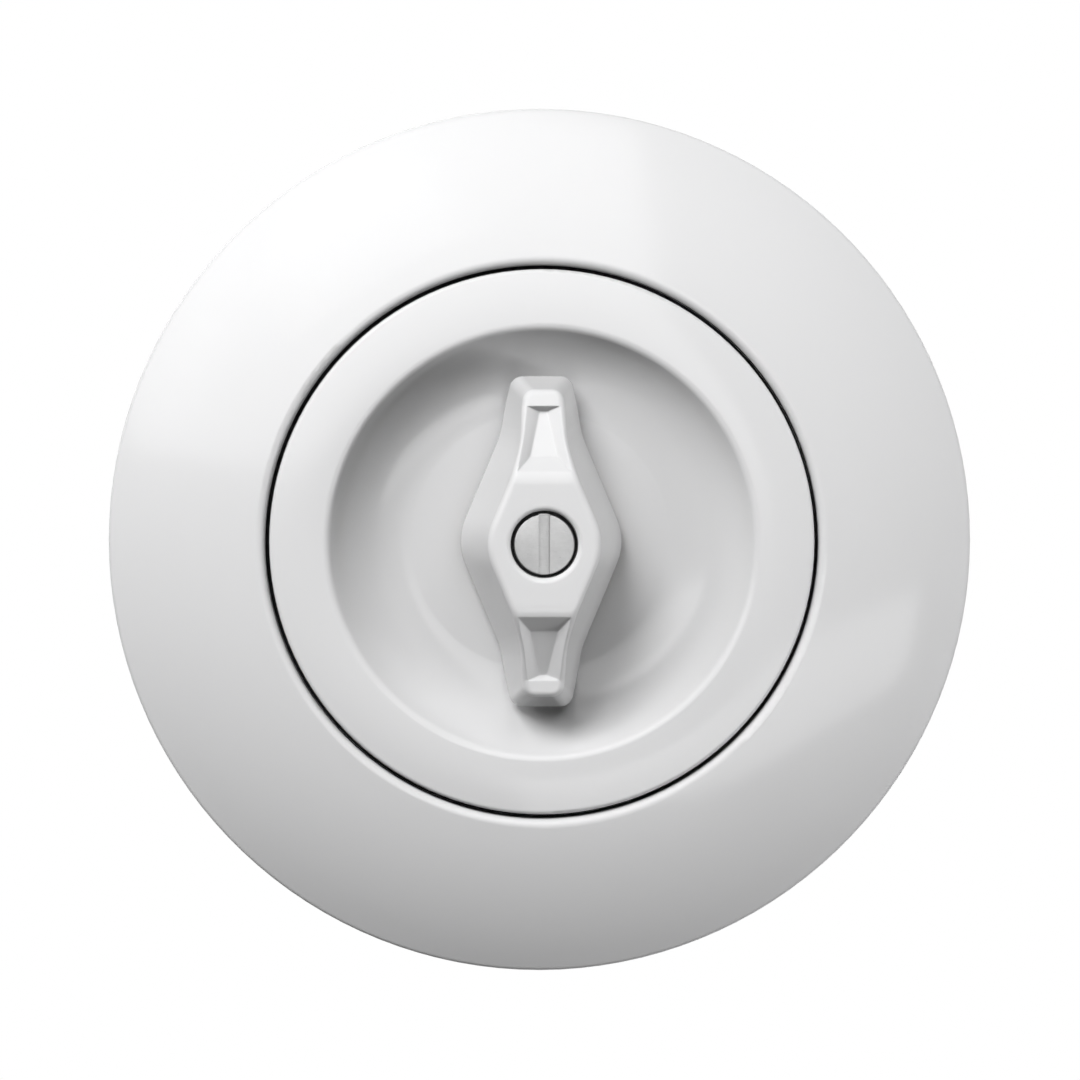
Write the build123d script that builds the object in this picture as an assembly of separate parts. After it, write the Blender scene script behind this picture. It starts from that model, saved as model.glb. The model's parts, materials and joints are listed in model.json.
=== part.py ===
from build123d import *
import os
from math import cos, radians, sin, sqrt

# Round flush-mounted rotary dimmer with a two-winged knob, in millimetres.
# It is drawn lying on its back: Z is the distance from the wall plane, Y points up the wall.
# The last step stands it against the wall, so that the front faces -Y and +Z is up.

# Cover frame: a domed ring that lies on the wall
RING_RADIUS = 50.0
RING_EDGE_HEIGHT = 2.2
RING_TOP_HEIGHT = 9.6
RING_DOME_RISE = 0.9
RING_WALL = 2.4
RING_REAR_LAND = 3.5
RING_SKIRT_WALL = 2.0
RING_SHOULDER_RADIUS = 0.9
RING_EDGE_RADIUS = 0.6
LEDGE_BOTTOM = 1.6
LEDGE_TOP = 4.0
LEDGE_WIDTH = 2.2
RING_RIBS = 12
RING_RIB_THICKNESS = 1.2
RING_RIB_CLEARANCE = 0.6

# Dark cushion under the rim of the centre plate
CUSHION_THICKNESS = 0.8
CUSHION_CLEARANCE = 0.1

# Centre plate with its dished recess
PLATE_RADIUS = 31.5
PLATE_GAP = 0.45
PLATE_RIM_HEIGHT = 9.6
PLATE_LIP_HEIGHT = 10.3
PLATE_CROWN_RISE = 0.25
PLATE_WALL = 2.2
PLATE_EDGE_RADIUS = 0.5
BOWL_RADIUS = 24.7
BOWL_DEPTH = 5.9
BOWL_FLAT_RADIUS = 15.0
BOWL_LIP_RADIUS = 1.0
BOWL_SHELL = 2.4
SEAT_RADIUS = 9.0
SPOT_FACE_RADIUS = 7.3

# Knob
KNOB_HEIGHT = 18.0
KNOB_HALF_LENGTH = 19.35
KNOB_HALF_WIDTH = 9.9
KNOB_WAIST_HALF_WIDTH = 4.75
KNOB_WAIST_PLACE = 12.3
KNOB_TIP_HALF_WIDTH = 3.6
KNOB_SIDE_ROUNDING = 7.0
KNOB_WAIST_ROUNDING = 9.0
KNOB_TIP_ROUNDING = 1.5
KNOB_DRAFT = 13.0
KNOB_PLATEAU_HALF = 7.8
KNOB_SLOPE_RUN = 8.0
KNOB_SLOPE_DROP = 4.0
KNOB_TIP_DROP = 0.7
KNOB_PLATEAU_ROUNDING = 3.5
KNOB_EDGE_RADIUS = 0.8
KNOB_DISH_GAP = 1.8
TROUGH_HALF_WIDTH = 3.1
TROUGH_TIP_HALF_WIDTH = 1.9
TROUGH_DEPTH = 1.0
TROUGH_WALL_WIDTH = 1.5
TROUGH_INSET = 0.6
TROUGH_RAMP = 2.4
TROUGH_END_DRAFT = 0.15
KNOB_SHELF = 1.0
KNOB_HOLLOW_CLEARANCE = 0.55

# Knob screw and its washer
SCREW_HEAD_RADIUS = 3.5
SCREW_HEAD_HEIGHT = 2.4
SCREW_HEAD_EDGE = 0.2
SCREW_RECESS = 0.7
SCREW_HEAD_GAP = 0.38
SCREW_SHANK_RADIUS = 1.7
SCREW_LENGTH = 8.0
SCREW_SLOT_WIDTH = 1.34
SCREW_SLOT_DEPTH = 1.1
WASHER_THICKNESS = 0.4
COUNTERBORE_EDGE_RADIUS = 0.6
THREAD_CLEARANCE = 0.05

# Spindle, its clip and the bushing that guides it
SPINDLE_RADIUS = 3.0
SPINDLE_FLAT = 1.5
SPINDLE_TAP_DEPTH = 9.5
FIT_CLEARANCE = 0.05
PUSH_TRAVEL = 1.2
PUSH_CLEARANCE = 0.35
CLIP_THICKNESS = 0.6
CLIP_RADIUS = 4.4
CLIP_GROOVE_DEPTH = 0.5
CLIP_MOUTH = 4.0
BUSHING_RADIUS = 4.9
BUSHING_CHAMFER = 0.4
BUSHING_THREAD_SPARE = 0.5
BUSHING_FLANGE_RADIUS = 7.5
BUSHING_FLANGE = 1.5
BUSHING_HOLE_CLEARANCE = 0.3
BUSHING_SPIGOT_RADIUS = 4.2
NUT_ACROSS_FLATS = 12.0
NUT_HEIGHT = 2.4
LOCK_WASHER_RADIUS = 6.7
LOCK_WASHER_THICKNESS = 0.6
LOCK_WASHER_TEETH = 8
LOCK_WASHER_NOTCH_DEPTH = 0.9
LOCK_WASHER_NOTCH_WIDTH = 0.8

# Control: can, track, rotor and wiper
POT_RADIUS = 10.0
POT_WALL = 0.5
POT_HEIGHT = 8.0
POT_WINDOW_RISE = 0.6
TRACK_DISC_THICKNESS = 1.2
TRACK_RADIUS = 7.6
TRACK_WIDTH = 1.8
TRACK_THICKNESS = 0.2
TRACK_SPAN = 290.0
ROTOR_RADIUS = 8.4
ROTOR_THICKNESS = 2.2
ROTOR_HOLES = 6
ROTOR_HOLE_RADIUS = 1.1
ROTOR_HOLE_PLACE = 6.2
WIPER_GAP = 0.06
POT_TERMINAL_PITCH = 5.0
POT_TERMINAL_WIDTH = 1.2
POT_TERMINAL_THICKNESS = 0.4
POT_TERMINAL_REACH = 1.8
POT_TERMINAL_LAP = 1.4

# Push switch
SWITCH_LENGTH = 16.0
SWITCH_WIDTH = 12.0
SWITCH_HEIGHT = 6.0
SWITCH_WALL = 1.0
PLUNGER_RADIUS = 2.5
PLUNGER_FLANGE_RADIUS = 4.0
PLUNGER_FLANGE = 1.0
PLUNGER_PIN_RADIUS = 1.0
BRIDGE_LENGTH = 12.4
BRIDGE_WIDTH = 2.6
BRIDGE_THICKNESS = 0.4
CONTACT_RADIUS = 0.8
SPRING_WIRE_RADIUS = 0.2
SPRING_RADIUS = 2.0
SPRING_TURNS = 3.5

# Insert housing
INSERT_RADIUS = 27.0
INSERT_HALF_WIDTH = 20.5
INSERT_HALF_HEIGHT = 25.0
INSERT_WALL = 1.8
INSERT_SPLIT = 6.0
INSERT_DEPTH = 24.5
INSERT_REAR_ROUNDING = 1.2
COVER_BOSS_RADIUS = 14.0
COVER_BOSS_HEIGHT = 2.0
COVER_ROOF = 2.0
CASE_BOSS_RADIUS = 3.0
CASE_BOSS_X = 15.5
CASE_BOSS_Y = 17.0
CASE_SCREW_RADIUS = 1.25
CASE_SCREW_HEAD_RADIUS = 2.3
CASE_SCREW_HEAD = 1.6
CASE_SCREW_SPARE = 1.0
BOARD_POST_RADIUS = 1.6

# Circuit board and what stands on it
BOARD_RADIUS = 24.5
BOARD_THICKNESS = 1.6
BOARD_EDGE_GAP = 0.4
CHOKE_Y = 17.0
CHOKE_RADIUS = 6.0
CHOKE_BORE = 2.4
CHOKE_HEIGHT = 7.0
WIRE_RADIUS = 0.55
CHOKE_TURNS = 16
CAPACITOR_LENGTH = 13.0
CAPACITOR_WIDTH = 5.0
CAPACITOR_HEIGHT = 8.5
CAPACITOR_Y = -16.8
CAPACITOR_ROUNDING = 0.5
TIMING_LENGTH = 6.0
TIMING_WIDTH = 2.6
TIMING_HEIGHT = 5.0
TIMING_ROUNDING = 0.6
TIMING_UNDERLAP = 1.0
TRIAC_WIDTH = 10.0
TRIAC_THICKNESS = 4.4
TRIAC_CHAMFER = 0.6
TRIAC_HEIGHT = 8.6
TRIAC_TAB_HEIGHT = 5.0
TRIAC_TAB_THICKNESS = 1.2
TRIAC_TAB_GAP = 0.3
TRIAC_LEAD_HEIGHT = 2.2
HEAT_SINK_THICKNESS = 1.5
HEAT_SINK_WIDTH = 17.0
HEAT_SINK_HEIGHT = 12.6
FUSE_RADIUS = 2.5
FUSE_LENGTH = 20.0
FUSE_CAP_LENGTH = 5.0
FUSE_CAP_WALL = 0.2
FUSE_LIFT = 1.4
FUSE_CLIP_THICKNESS = 0.4
FUSE_CLIP_LENGTH = 3.4
FUSE_CLIP_FOOT = 2.0
RESISTOR_RADIUS = 1.1
RESISTOR_LENGTH = 6.0
RESISTOR_LIFT = 0.3
LEAD_RADIUS = 0.35
LEAD_REACH = 1.2
PART_SPACING = 0.9
RESISTOR_ROW_GAP = 3.6
DIAC_RADIUS = 0.9
DIAC_LENGTH = 4.2
CHOKE_SIDE_GAP = 3.1
TRIAC_LEAD_WIDTH = 0.8
TRIAC_LEAD_THICKNESS = 0.5
HEAT_SINK_GAP = 0.2
FUSE_SIDE_GAP = 0.8

# Terminals for three wires
TERMINAL_PITCH = 7.7
TERMINAL_WIDTH = 6.4
TERMINAL_LENGTH = 6.0
TERMINAL_HEIGHT = 5.4
TERMINAL_CHAMFER = 0.5
TERMINAL_BORE = 1.6
TERMINAL_WALL_GAP = 0.9
TERMINAL_BORE_DROP = 2.3
TERMINAL_SCREW_RADIUS = 1.5
TERMINAL_SCREW_HEAD_RADIUS = 2.3
TERMINAL_SCREW_HEAD = 1.8
WIRE_OPENING_CLEARANCE = 0.3

# Steel support plate
SUPPORT_SIDE = 71.0
SUPPORT_THICKNESS = 1.2
SUPPORT_CORNER_CUT = 12.0
SUPPORT_CORNER_ROUNDING = 1.0
SUPPORT_OPENING_CLEARANCE = 0.3
CORNER_HOLE_CIRCLE = 76.0
CORNER_HOLE_RADIUS = 1.8
BOX_SCREW_SPACING = 60.0
BOX_SLOT_WIDTH = 3.8
BOX_SLOT_HALF_ANGLE = 8.0
PLATE_SCREW_Y = 19.5
PLATE_SCREW_RADIUS = 1.5
PLATE_SCREW_HEAD_RADIUS = 2.6
PLATE_SCREW_LENGTH = 6.0
PLATE_BOSS_SPARE = 0.3

# Spreading claws
CLAW_HOUSING_GAP = 1.5
CLAW_SCREW_RADIUS = 1.5
CLAW_SCREW_HEAD_RADIUS = 2.9
CLAW_SCREW_HEAD = 1.8
CLAW_SCREW_HEAD_ROUNDING = 0.7
CLAW_SCREW_LENGTH = 21.5
CLAW_HOLE_CLEARANCE = 0.3
CLAW_PIVOT_DEPTH = 16.0
CLAW_NUT_X = 5.0
CLAW_NUT_Y = 6.0
CLAW_NUT_Z = 4.0
CLAW_TRUNNION_RADIUS = 1.2
CLAW_SHEET = 1.0
CLAW_SIDE_GAP = 0.15
CLAW_WEB_OFFSET = 3.45
CLAW_WEB_TOP = 2.0
CLAW_WEB_BOTTOM = 8.0
CLAW_TOOTH = 1.4
CLAW_TEETH = 3
CLAW_EAR_RADIUS = 2.4
CLAW_RIB_GAP = 0.6
CLAW_RIB_THICKNESS = 1.0
CLAW_RIB_REACH = 3.2
CLAW_RIB_END_GAP = 2.0

SLOT_WIDTH = 0.8
SLOT_DEPTH = 0.8

# Heights and radii that follow from the sizes above
RING_BORE = PLATE_RADIUS + PLATE_GAP
LEDGE_BORE = RING_BORE - LEDGE_WIDTH
PLATE_RIM_BOTTOM = LEDGE_TOP + CUSHION_THICKNESS
BOWL_FLOOR = PLATE_LIP_HEIGHT - BOWL_DEPTH
BOWL_SWEEP_RADIUS = ((BOWL_RADIUS - BOWL_FLAT_RADIUS) ** 2 + BOWL_DEPTH**2) / (2 * BOWL_DEPTH)
PLATE_SEAT = COVER_BOSS_HEIGHT
NUT_BOTTOM = BOWL_FLOOR + LOCK_WASHER_THICKNESS
NUT_TOP = NUT_BOTTOM + NUT_HEIGHT
BUSHING_TOP = NUT_TOP + BUSHING_THREAD_SPARE
BUSHING_HOLE = BUSHING_RADIUS + BUSHING_HOLE_CLEARANCE
BOSS_ROOF_UNDERSIDE = COVER_BOSS_HEIGHT - COVER_ROOF
POT_TOP = BOSS_ROOF_UNDERSIDE - BUSHING_FLANGE
POT_BOTTOM = POT_TOP - POT_HEIGHT
HOLLOW_TOP = BUSHING_TOP + PUSH_TRAVEL + PUSH_CLEARANCE
HEAD_TOP = KNOB_HEIGHT - SCREW_RECESS
HEAD_BOTTOM = HEAD_TOP - SCREW_HEAD_HEIGHT
SHELF_TOP = HEAD_BOTTOM - WASHER_THICKNESS
SPINDLE_TOP = SHELF_TOP - KNOB_SHELF
SPINDLE_END = POT_BOTTOM + PUSH_TRAVEL + FIT_CLEARANCE
CLIP_TOP = POT_TOP - POT_WALL - PUSH_CLEARANCE
CLIP_BOTTOM = CLIP_TOP - CLIP_THICKNESS
ROTOR_TOP = CLIP_BOTTOM - PUSH_TRAVEL - PUSH_CLEARANCE
ROTOR_BOTTOM = ROTOR_TOP - ROTOR_THICKNESS
TRACK_TOP = POT_BOTTOM + TRACK_DISC_THICKNESS + TRACK_THICKNESS
SWITCH_TOP = POT_BOTTOM
SWITCH_BOTTOM = SWITCH_TOP - SWITCH_HEIGHT
FLANGE_TOP = SWITCH_TOP - SWITCH_WALL - PUSH_CLEARANCE
FLANGE_BOTTOM = FLANGE_TOP - PLUNGER_FLANGE
BRIDGE_BOTTOM = FLANGE_BOTTOM - BRIDGE_THICKNESS
FIXED_CONTACT_TOP = BRIDGE_BOTTOM - PUSH_TRAVEL - 2 * FIT_CLEARANCE
SWITCH_FLOOR = SWITCH_BOTTOM + SWITCH_WALL
PLUNGER_PIN_END = SWITCH_FLOOR + PUSH_TRAVEL + 2 * FIT_CLEARANCE
BOARD_TOP = SWITCH_BOTTOM
BOARD_BOTTOM = BOARD_TOP - BOARD_THICKNESS
TERMINAL_BOTTOM = BOARD_BOTTOM - TERMINAL_HEIGHT
BASE_FLOOR = TERMINAL_BOTTOM
TERMINAL_BORE_Z = BOARD_BOTTOM - TERMINAL_BORE_DROP
TERMINAL_Y = -(INSERT_HALF_HEIGHT - INSERT_WALL - TERMINAL_WALL_GAP - TERMINAL_LENGTH / 2)
TERMINAL_XS = (-TERMINAL_PITCH, 0.0, TERMINAL_PITCH)
CASE_BOSSES = ((CASE_BOSS_X, CASE_BOSS_Y), (-CASE_BOSS_X, -CASE_BOSS_Y))
BOARD_POSTS = ((-CASE_BOSS_X, CASE_BOSS_Y), (CASE_BOSS_X, -CASE_BOSS_Y))
PLATE_SCREWS = ((0.0, PLATE_SCREW_Y), (0.0, -PLATE_SCREW_Y))
CLAW_X = INSERT_HALF_WIDTH + CLAW_HOUSING_GAP + CLAW_NUT_X / 2
CLAW_HALF_Y = CLAW_NUT_Y / 2 + CLAW_SIDE_GAP + CLAW_SHEET


def disc(radius, bottom, top, x=0.0, y=0.0):
    """Upright cylinder between two heights."""
    return Pos(x, y, (bottom + top) / 2) * Cylinder(radius, top - bottom)


def tube(outer, inner, bottom, top, x=0.0, y=0.0):
    """Upright ring between two heights."""
    return disc(outer, bottom, top, x, y) - disc(inner, bottom - 1, top + 1, x, y)


def block(x_span, y_span, z_span):
    """Box between the two values given along each direction."""
    spans = (x_span, y_span, z_span)
    centre = [(low + high) / 2 for low, high in spans]
    return Pos(*centre) * Box(*[high - low for low, high in spans])


def turned(outline):
    """Solid turned about Z from a face drawn with radius along X and height along Y."""
    return revolve(Plane.XZ * outline, Axis.Z)


def bowed(start, end, rise):
    """Arc from start to end whose middle stands off the chord, to the left of the way."""
    chord = Vector(*end) - Vector(*start)
    middle = Vector(*start) + chord * 0.5 + Vector(-chord.Y, chord.X).normalized() * rise
    return ThreePointArc(start, middle, end)


def face_inside(*lines):
    """Flat face bounded by the given lines, which meet end to end."""
    return make_face([edge for line in lines for edge in line.edges()])


def with_round_corners(face, points, radius):
    """The face with the corners nearest the points rounded."""
    corners = [face.vertices().sort_by_distance(Vector(*point))[0] for point in points]
    return fillet(corners, radius)


def edges_near(solid, radius, height):
    """Circular edges about Z that have the given radius and height."""
    tolerance = 0.01
    round_edges = solid.edges().filter_by(GeomType.CIRCLE)
    return round_edges.filter_by(
        lambda edge: abs(edge.radius - radius) < tolerance and abs(edge.center().Z - height) < tolerance
    )


def slotted(head_top, radius, width, depth, x=0.0, y=0.0):
    """Cutter for a screwdriver slot across a head."""
    return Pos(x, y, head_top) * Box(width, 2.2 * radius, 2 * depth)


def ring_ribs(height_inside):
    """Stiffening ribs across the hollow of the ring, rooted in its wall and short of the support plate."""
    inner = RING_BORE + RING_SKIRT_WALL / 2
    outer = RING_RADIUS - RING_REAR_LAND / 2
    bottom = SUPPORT_THICKNESS + RING_RIB_CLEARANCE
    ends = [(radius, height_inside(radius, RING_WALL / 2)) for radius in (inner, (inner + outer) / 2, outer)]
    face = face_inside(
        ThreePointArc(*ends),
        Polyline(ends[2], (outer, bottom), (inner, bottom), ends[0]),
    )
    rib = extrude(Plane.XZ * face, RING_RIB_THICKNESS / 2, both=True)
    step = 360 / RING_RIBS
    return [Rot(0, 0, (index + 0.5) * step) * rib for index in range(RING_RIBS)]


def frame_ring():
    """Domed ring, hollow and ribbed behind, with a ledge inside that carries the cushion."""
    shoulder = (RING_BORE, RING_TOP_HEIGHT)
    edge = (RING_RADIUS, RING_EDGE_HEIGHT)
    dome = bowed(shoulder, edge, RING_DOME_RISE)
    centre = dome.edge().arc_center
    dome_radius = dome.edge().radius
    skirt = RING_BORE + RING_SKIRT_WALL
    land = RING_RADIUS - RING_REAR_LAND

    def height_inside(radius, depth):
        return centre.Y + sqrt((dome_radius - depth) ** 2 - (radius - centre.X) ** 2)

    skirt_top = (skirt, height_inside(skirt, RING_WALL))
    land_top = (land, height_inside(land, RING_WALL))
    inner_rise = RING_DOME_RISE * ((land - skirt) / (RING_RADIUS - RING_BORE)) ** 2
    outline = face_inside(
        dome,
        Polyline(edge, (RING_RADIUS, 0), (land, 0), land_top),
        bowed(skirt_top, land_top, inner_rise),
        Polyline(
            skirt_top,
            (skirt, LEDGE_BOTTOM),
            (LEDGE_BORE, LEDGE_BOTTOM),
            (LEDGE_BORE, LEDGE_TOP),
            (RING_BORE, LEDGE_TOP),
            shoulder,
        ),
    )
    outline = with_round_corners(outline, [shoulder], RING_SHOULDER_RADIUS)
    outline = with_round_corners(outline, [edge], RING_EDGE_RADIUS)
    return turned(outline) + ring_ribs(height_inside)


def cushion_ring():
    """Flat dark ring between the ledge and the rim of the centre plate."""
    outer = RING_BORE - CUSHION_CLEARANCE
    inner = LEDGE_BORE + CUSHION_CLEARANCE
    return tube(outer, inner, LEDGE_TOP, PLATE_RIM_BOTTOM)


def bowl_section(offset):
    """Half section of the bowl, larger all round by the offset: a flat floor and a round wall."""
    sweep = BOWL_SWEEP_RADIUS + offset
    lip = (BOWL_FLAT_RADIUS + sqrt(sweep**2 - (BOWL_SWEEP_RADIUS - BOWL_DEPTH) ** 2), PLATE_LIP_HEIGHT)
    floor = (BOWL_FLAT_RADIUS, BOWL_FLOOR - offset)
    return face_inside(
        TangentArc(floor, lip, tangent=(1, 0)),
        Polyline(lip, (0, PLATE_LIP_HEIGHT), (0, BOWL_FLOOR - offset), floor),
    )


def centre_plate():
    """Round plate with a crowned rim, a flat-floored bowl and an even shell behind it."""
    rim = (PLATE_RADIUS, PLATE_RIM_HEIGHT)
    lip = (BOWL_RADIUS, PLATE_LIP_HEIGHT)
    slab = face_inside(
        bowed(lip, rim, PLATE_CROWN_RISE),
        Polyline(rim, (PLATE_RADIUS, PLATE_SEAT), (0, PLATE_SEAT), (0, PLATE_LIP_HEIGHT), lip),
    )
    slab = with_round_corners(slab, [rim], PLATE_EDGE_RADIUS)
    inner_rim = PLATE_RADIUS - PLATE_WALL
    under_top = PLATE_RIM_HEIGHT - PLATE_WALL
    behind = Pos(inner_rim / 2, (PLATE_SEAT + under_top) / 2) * Rectangle(inner_rim, under_top - PLATE_SEAT)
    below_rim = PLATE_RIM_BOTTOM - PLATE_SEAT
    behind += Pos(PLATE_RADIUS / 2, PLATE_SEAT + below_rim / 2) * Rectangle(PLATE_RADIUS, below_rim)
    shell = bowl_section(BOWL_SHELL)
    seat_height = BOWL_FLOOR - PLATE_SEAT
    seat = Pos(SEAT_RADIUS / 2, PLATE_SEAT + seat_height / 2) * Rectangle(SEAT_RADIUS, seat_height)
    section = slab - bowl_section(0) - (behind - shell - seat)
    plate = turned(section)
    plate = fillet(edges_near(plate, BOWL_RADIUS, PLATE_LIP_HEIGHT), BOWL_LIP_RADIUS)
    plate -= disc(SPOT_FACE_RADIUS, BOWL_FLOOR, PLATE_LIP_HEIGHT)
    return plate - disc(BUSHING_HOLE, 0, PLATE_LIP_HEIGHT)


def knob_outline():
    """Outline of the knob at its base: broad in the middle, waisted towards the two tips."""
    half = [
        (KNOB_TIP_HALF_WIDTH, -KNOB_HALF_LENGTH),
        (KNOB_WAIST_HALF_WIDTH, -KNOB_WAIST_PLACE),
        (KNOB_HALF_WIDTH, 0),
        (KNOB_WAIST_HALF_WIDTH, KNOB_WAIST_PLACE),
        (KNOB_TIP_HALF_WIDTH, KNOB_HALF_LENGTH),
    ]
    opposite = [(-across, -along) for across, along in half]
    outline = make_face(Polyline(*half, *opposite, close=True))
    return with_round_corners(outline, half[1::2] + opposite[1::2], KNOB_WAIST_ROUNDING)


def knob_side_view():
    """Plateau, slopes and tip facets as seen from the side, with length along X."""
    slope_end = KNOB_PLATEAU_HALF + KNOB_SLOPE_RUN
    tip_height = KNOB_HEIGHT - KNOB_SLOPE_DROP - KNOB_TIP_DROP
    half = [
        (KNOB_PLATEAU_HALF, KNOB_HEIGHT),
        (slope_end, KNOB_HEIGHT - KNOB_SLOPE_DROP),
        (KNOB_HALF_LENGTH, tip_height),
        (KNOB_HALF_LENGTH, 0),
    ]
    mirrored = [(-length, height) for length, height in reversed(half)]
    view = make_face(Polyline(*half, *mirrored, close=True))
    return with_round_corners(view, [half[0], mirrored[-1]], KNOB_PLATEAU_ROUNDING)


def trough_outline(plane, half_width, tip_half_width, near, far):
    """Four-sided outline that narrows towards the tip, on a plane along the slope."""
    corners = [
        (-half_width, near),
        (half_width, near),
        (tip_half_width, far),
        (-tip_half_width, far),
    ]
    return plane * make_face(Polyline(*corners, close=True))


def knob_trough(side):
    """Cutter for the finger trough in the slope towards one tip, side being 1 or -1."""
    start = Vector(0, side * KNOB_PLATEAU_HALF, KNOB_HEIGHT)
    run = Vector(0, side * KNOB_SLOPE_RUN, -KNOB_SLOPE_DROP)
    across = Vector(side, 0, 0)
    slope = Plane(origin=start, x_dir=across, z_dir=across.cross(run.normalized()))
    far = run.length
    mouth = trough_outline(slope, TROUGH_HALF_WIDTH, TROUGH_TIP_HALF_WIDTH, TROUGH_INSET, far)
    floor = trough_outline(
        slope.offset(-TROUGH_DEPTH),
        TROUGH_HALF_WIDTH - TROUGH_WALL_WIDTH,
        TROUGH_TIP_HALF_WIDTH - TROUGH_WALL_WIDTH,
        TROUGH_INSET + TROUGH_RAMP,
        far - TROUGH_END_DRAFT,
    )
    return loft([floor, mouth], ruled=True) + extrude(mouth, amount=TROUGH_DEPTH)


def d_bore(bottom, top, clearance):
    """Round bore with one flat, larger than the spindle by the clearance."""
    radius = SPINDLE_RADIUS + clearance
    flat = SPINDLE_FLAT + clearance
    return disc(radius, bottom, top) - block((flat, 2 * radius), (-radius, radius), (bottom, top))


def flank_corners(body, nearest, farthest):
    """Edges down the corners between two flanks, by their distance from the middle along the knob."""
    return body.edges().filter_by(
        lambda edge: abs((edge % 0.5).Z) > cos(radians(2 * KNOB_DRAFT))
        and nearest <= abs(edge.center().Y) < farthest
    )


def knob_wings(base):
    """Drafted body of the knob with its corners, ridges and troughs."""
    body = extrude(Pos(0, 0, base) * knob_outline(), amount=KNOB_HEIGHT - base, taper=KNOB_DRAFT)
    body &= extrude(Plane.YZ * knob_side_view(), amount=KNOB_HALF_WIDTH, both=True)
    body = fillet(flank_corners(body, 0, 1), KNOB_SIDE_ROUNDING)
    tips_from = (KNOB_WAIST_PLACE + KNOB_HALF_LENGTH) / 2
    body = fillet(flank_corners(body, tips_from, KNOB_HALF_LENGTH), KNOB_TIP_ROUNDING)
    flanks = flank_corners(body, 0, KNOB_HALF_LENGTH)
    top = body.edges().filter_by(lambda edge: edge.center().Z > base + 0.1 and edge not in flanks)
    body = fillet(top, KNOB_EDGE_RADIUS)
    return body - knob_trough(1) - knob_trough(-1)


def knob():
    """Two-winged knob with a hollow underside, a spindle bore and a counterbore."""
    base = PLATE_LIP_HEIGHT - BOWL_DEPTH + KNOB_DISH_GAP
    body = knob_wings(base)
    dish = turned(bowl_section(-KNOB_DISH_GAP))
    room = dish + disc(BOWL_RADIUS - KNOB_DISH_GAP, PLATE_LIP_HEIGHT, KNOB_HEIGHT + 1)
    body &= room
    nut_corner = NUT_ACROSS_FLATS / sqrt(3)
    body -= disc(nut_corner + KNOB_HOLLOW_CLEARANCE, 0, HOLLOW_TOP)
    body -= d_bore(0, SPINDLE_TOP, FIT_CLEARANCE)
    body -= disc(SCREW_SHANK_RADIUS + FIT_CLEARANCE, 0, KNOB_HEIGHT)
    counterbore = SCREW_HEAD_RADIUS + SCREW_HEAD_GAP
    body -= disc(counterbore, SHELF_TOP, KNOB_HEIGHT + 1)
    return fillet(edges_near(body, counterbore, KNOB_HEIGHT), COUNTERBORE_EDGE_RADIUS)


def knob_screw():
    """Slotted cheese-head screw in the end of the spindle."""
    head = disc(SCREW_HEAD_RADIUS, HEAD_BOTTOM, HEAD_TOP)
    head = fillet(edges_near(head, SCREW_HEAD_RADIUS, HEAD_TOP), SCREW_HEAD_EDGE)
    shank = disc(SCREW_SHANK_RADIUS, HEAD_BOTTOM - SCREW_LENGTH, HEAD_BOTTOM)
    return head + shank - slotted(HEAD_TOP, SCREW_HEAD_RADIUS, SCREW_SLOT_WIDTH, SCREW_SLOT_DEPTH)


def knob_washer():
    """Dark washer under the head, nearly as wide as the counterbore."""
    outer = SCREW_HEAD_RADIUS + SCREW_HEAD_GAP - THREAD_CLEARANCE
    return tube(outer, SCREW_SHANK_RADIUS + THREAD_CLEARANCE, SHELF_TOP, HEAD_BOTTOM)


def spindle():
    """Round shaft with a flat at each end, a clip groove and a tapped hole."""
    flat_bottom = BUSHING_TOP + PUSH_TRAVEL
    shaft = disc(SPINDLE_RADIUS, SPINDLE_END, SPINDLE_TOP)
    side = (-SPINDLE_RADIUS, SPINDLE_RADIUS)
    shaft -= block((SPINDLE_FLAT, SPINDLE_RADIUS), side, (flat_bottom, SPINDLE_TOP))
    shaft -= block((SPINDLE_FLAT, SPINDLE_RADIUS), side, (SPINDLE_END, ROTOR_TOP + PUSH_TRAVEL))
    shaft -= disc(SCREW_SHANK_RADIUS + THREAD_CLEARANCE, SPINDLE_TOP - SPINDLE_TAP_DEPTH, SPINDLE_TOP)
    shaft -= tube(SPINDLE_RADIUS + 1, SPINDLE_RADIUS - CLIP_GROOVE_DEPTH, CLIP_BOTTOM, CLIP_TOP)
    return shaft


def spindle_clip():
    """Open retaining ring in the groove of the spindle."""
    groove = SPINDLE_RADIUS - CLIP_GROOVE_DEPTH
    ring = tube(CLIP_RADIUS, groove + THREAD_CLEARANCE, CLIP_BOTTOM, CLIP_TOP)
    mouth = block((-CLIP_MOUTH / 2, CLIP_MOUTH / 2), (0, CLIP_RADIUS + 1), (CLIP_BOTTOM, CLIP_TOP))
    return ring - mouth


def pot_bushing():
    """Threaded bushing with a flange that bears on the underside of the cover."""
    body = disc(BUSHING_RADIUS, POT_TOP, BUSHING_TOP)
    body = chamfer(edges_near(body, BUSHING_RADIUS, BUSHING_TOP), BUSHING_CHAMFER)
    body += disc(BUSHING_FLANGE_RADIUS, POT_TOP, BOSS_ROOF_UNDERSIDE)
    body += disc(BUSHING_SPIGOT_RADIUS, POT_TOP - POT_WALL, POT_TOP)
    return body - disc(SPINDLE_RADIUS + FIT_CLEARANCE, POT_TOP - 1, BUSHING_TOP + 1)


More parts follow.
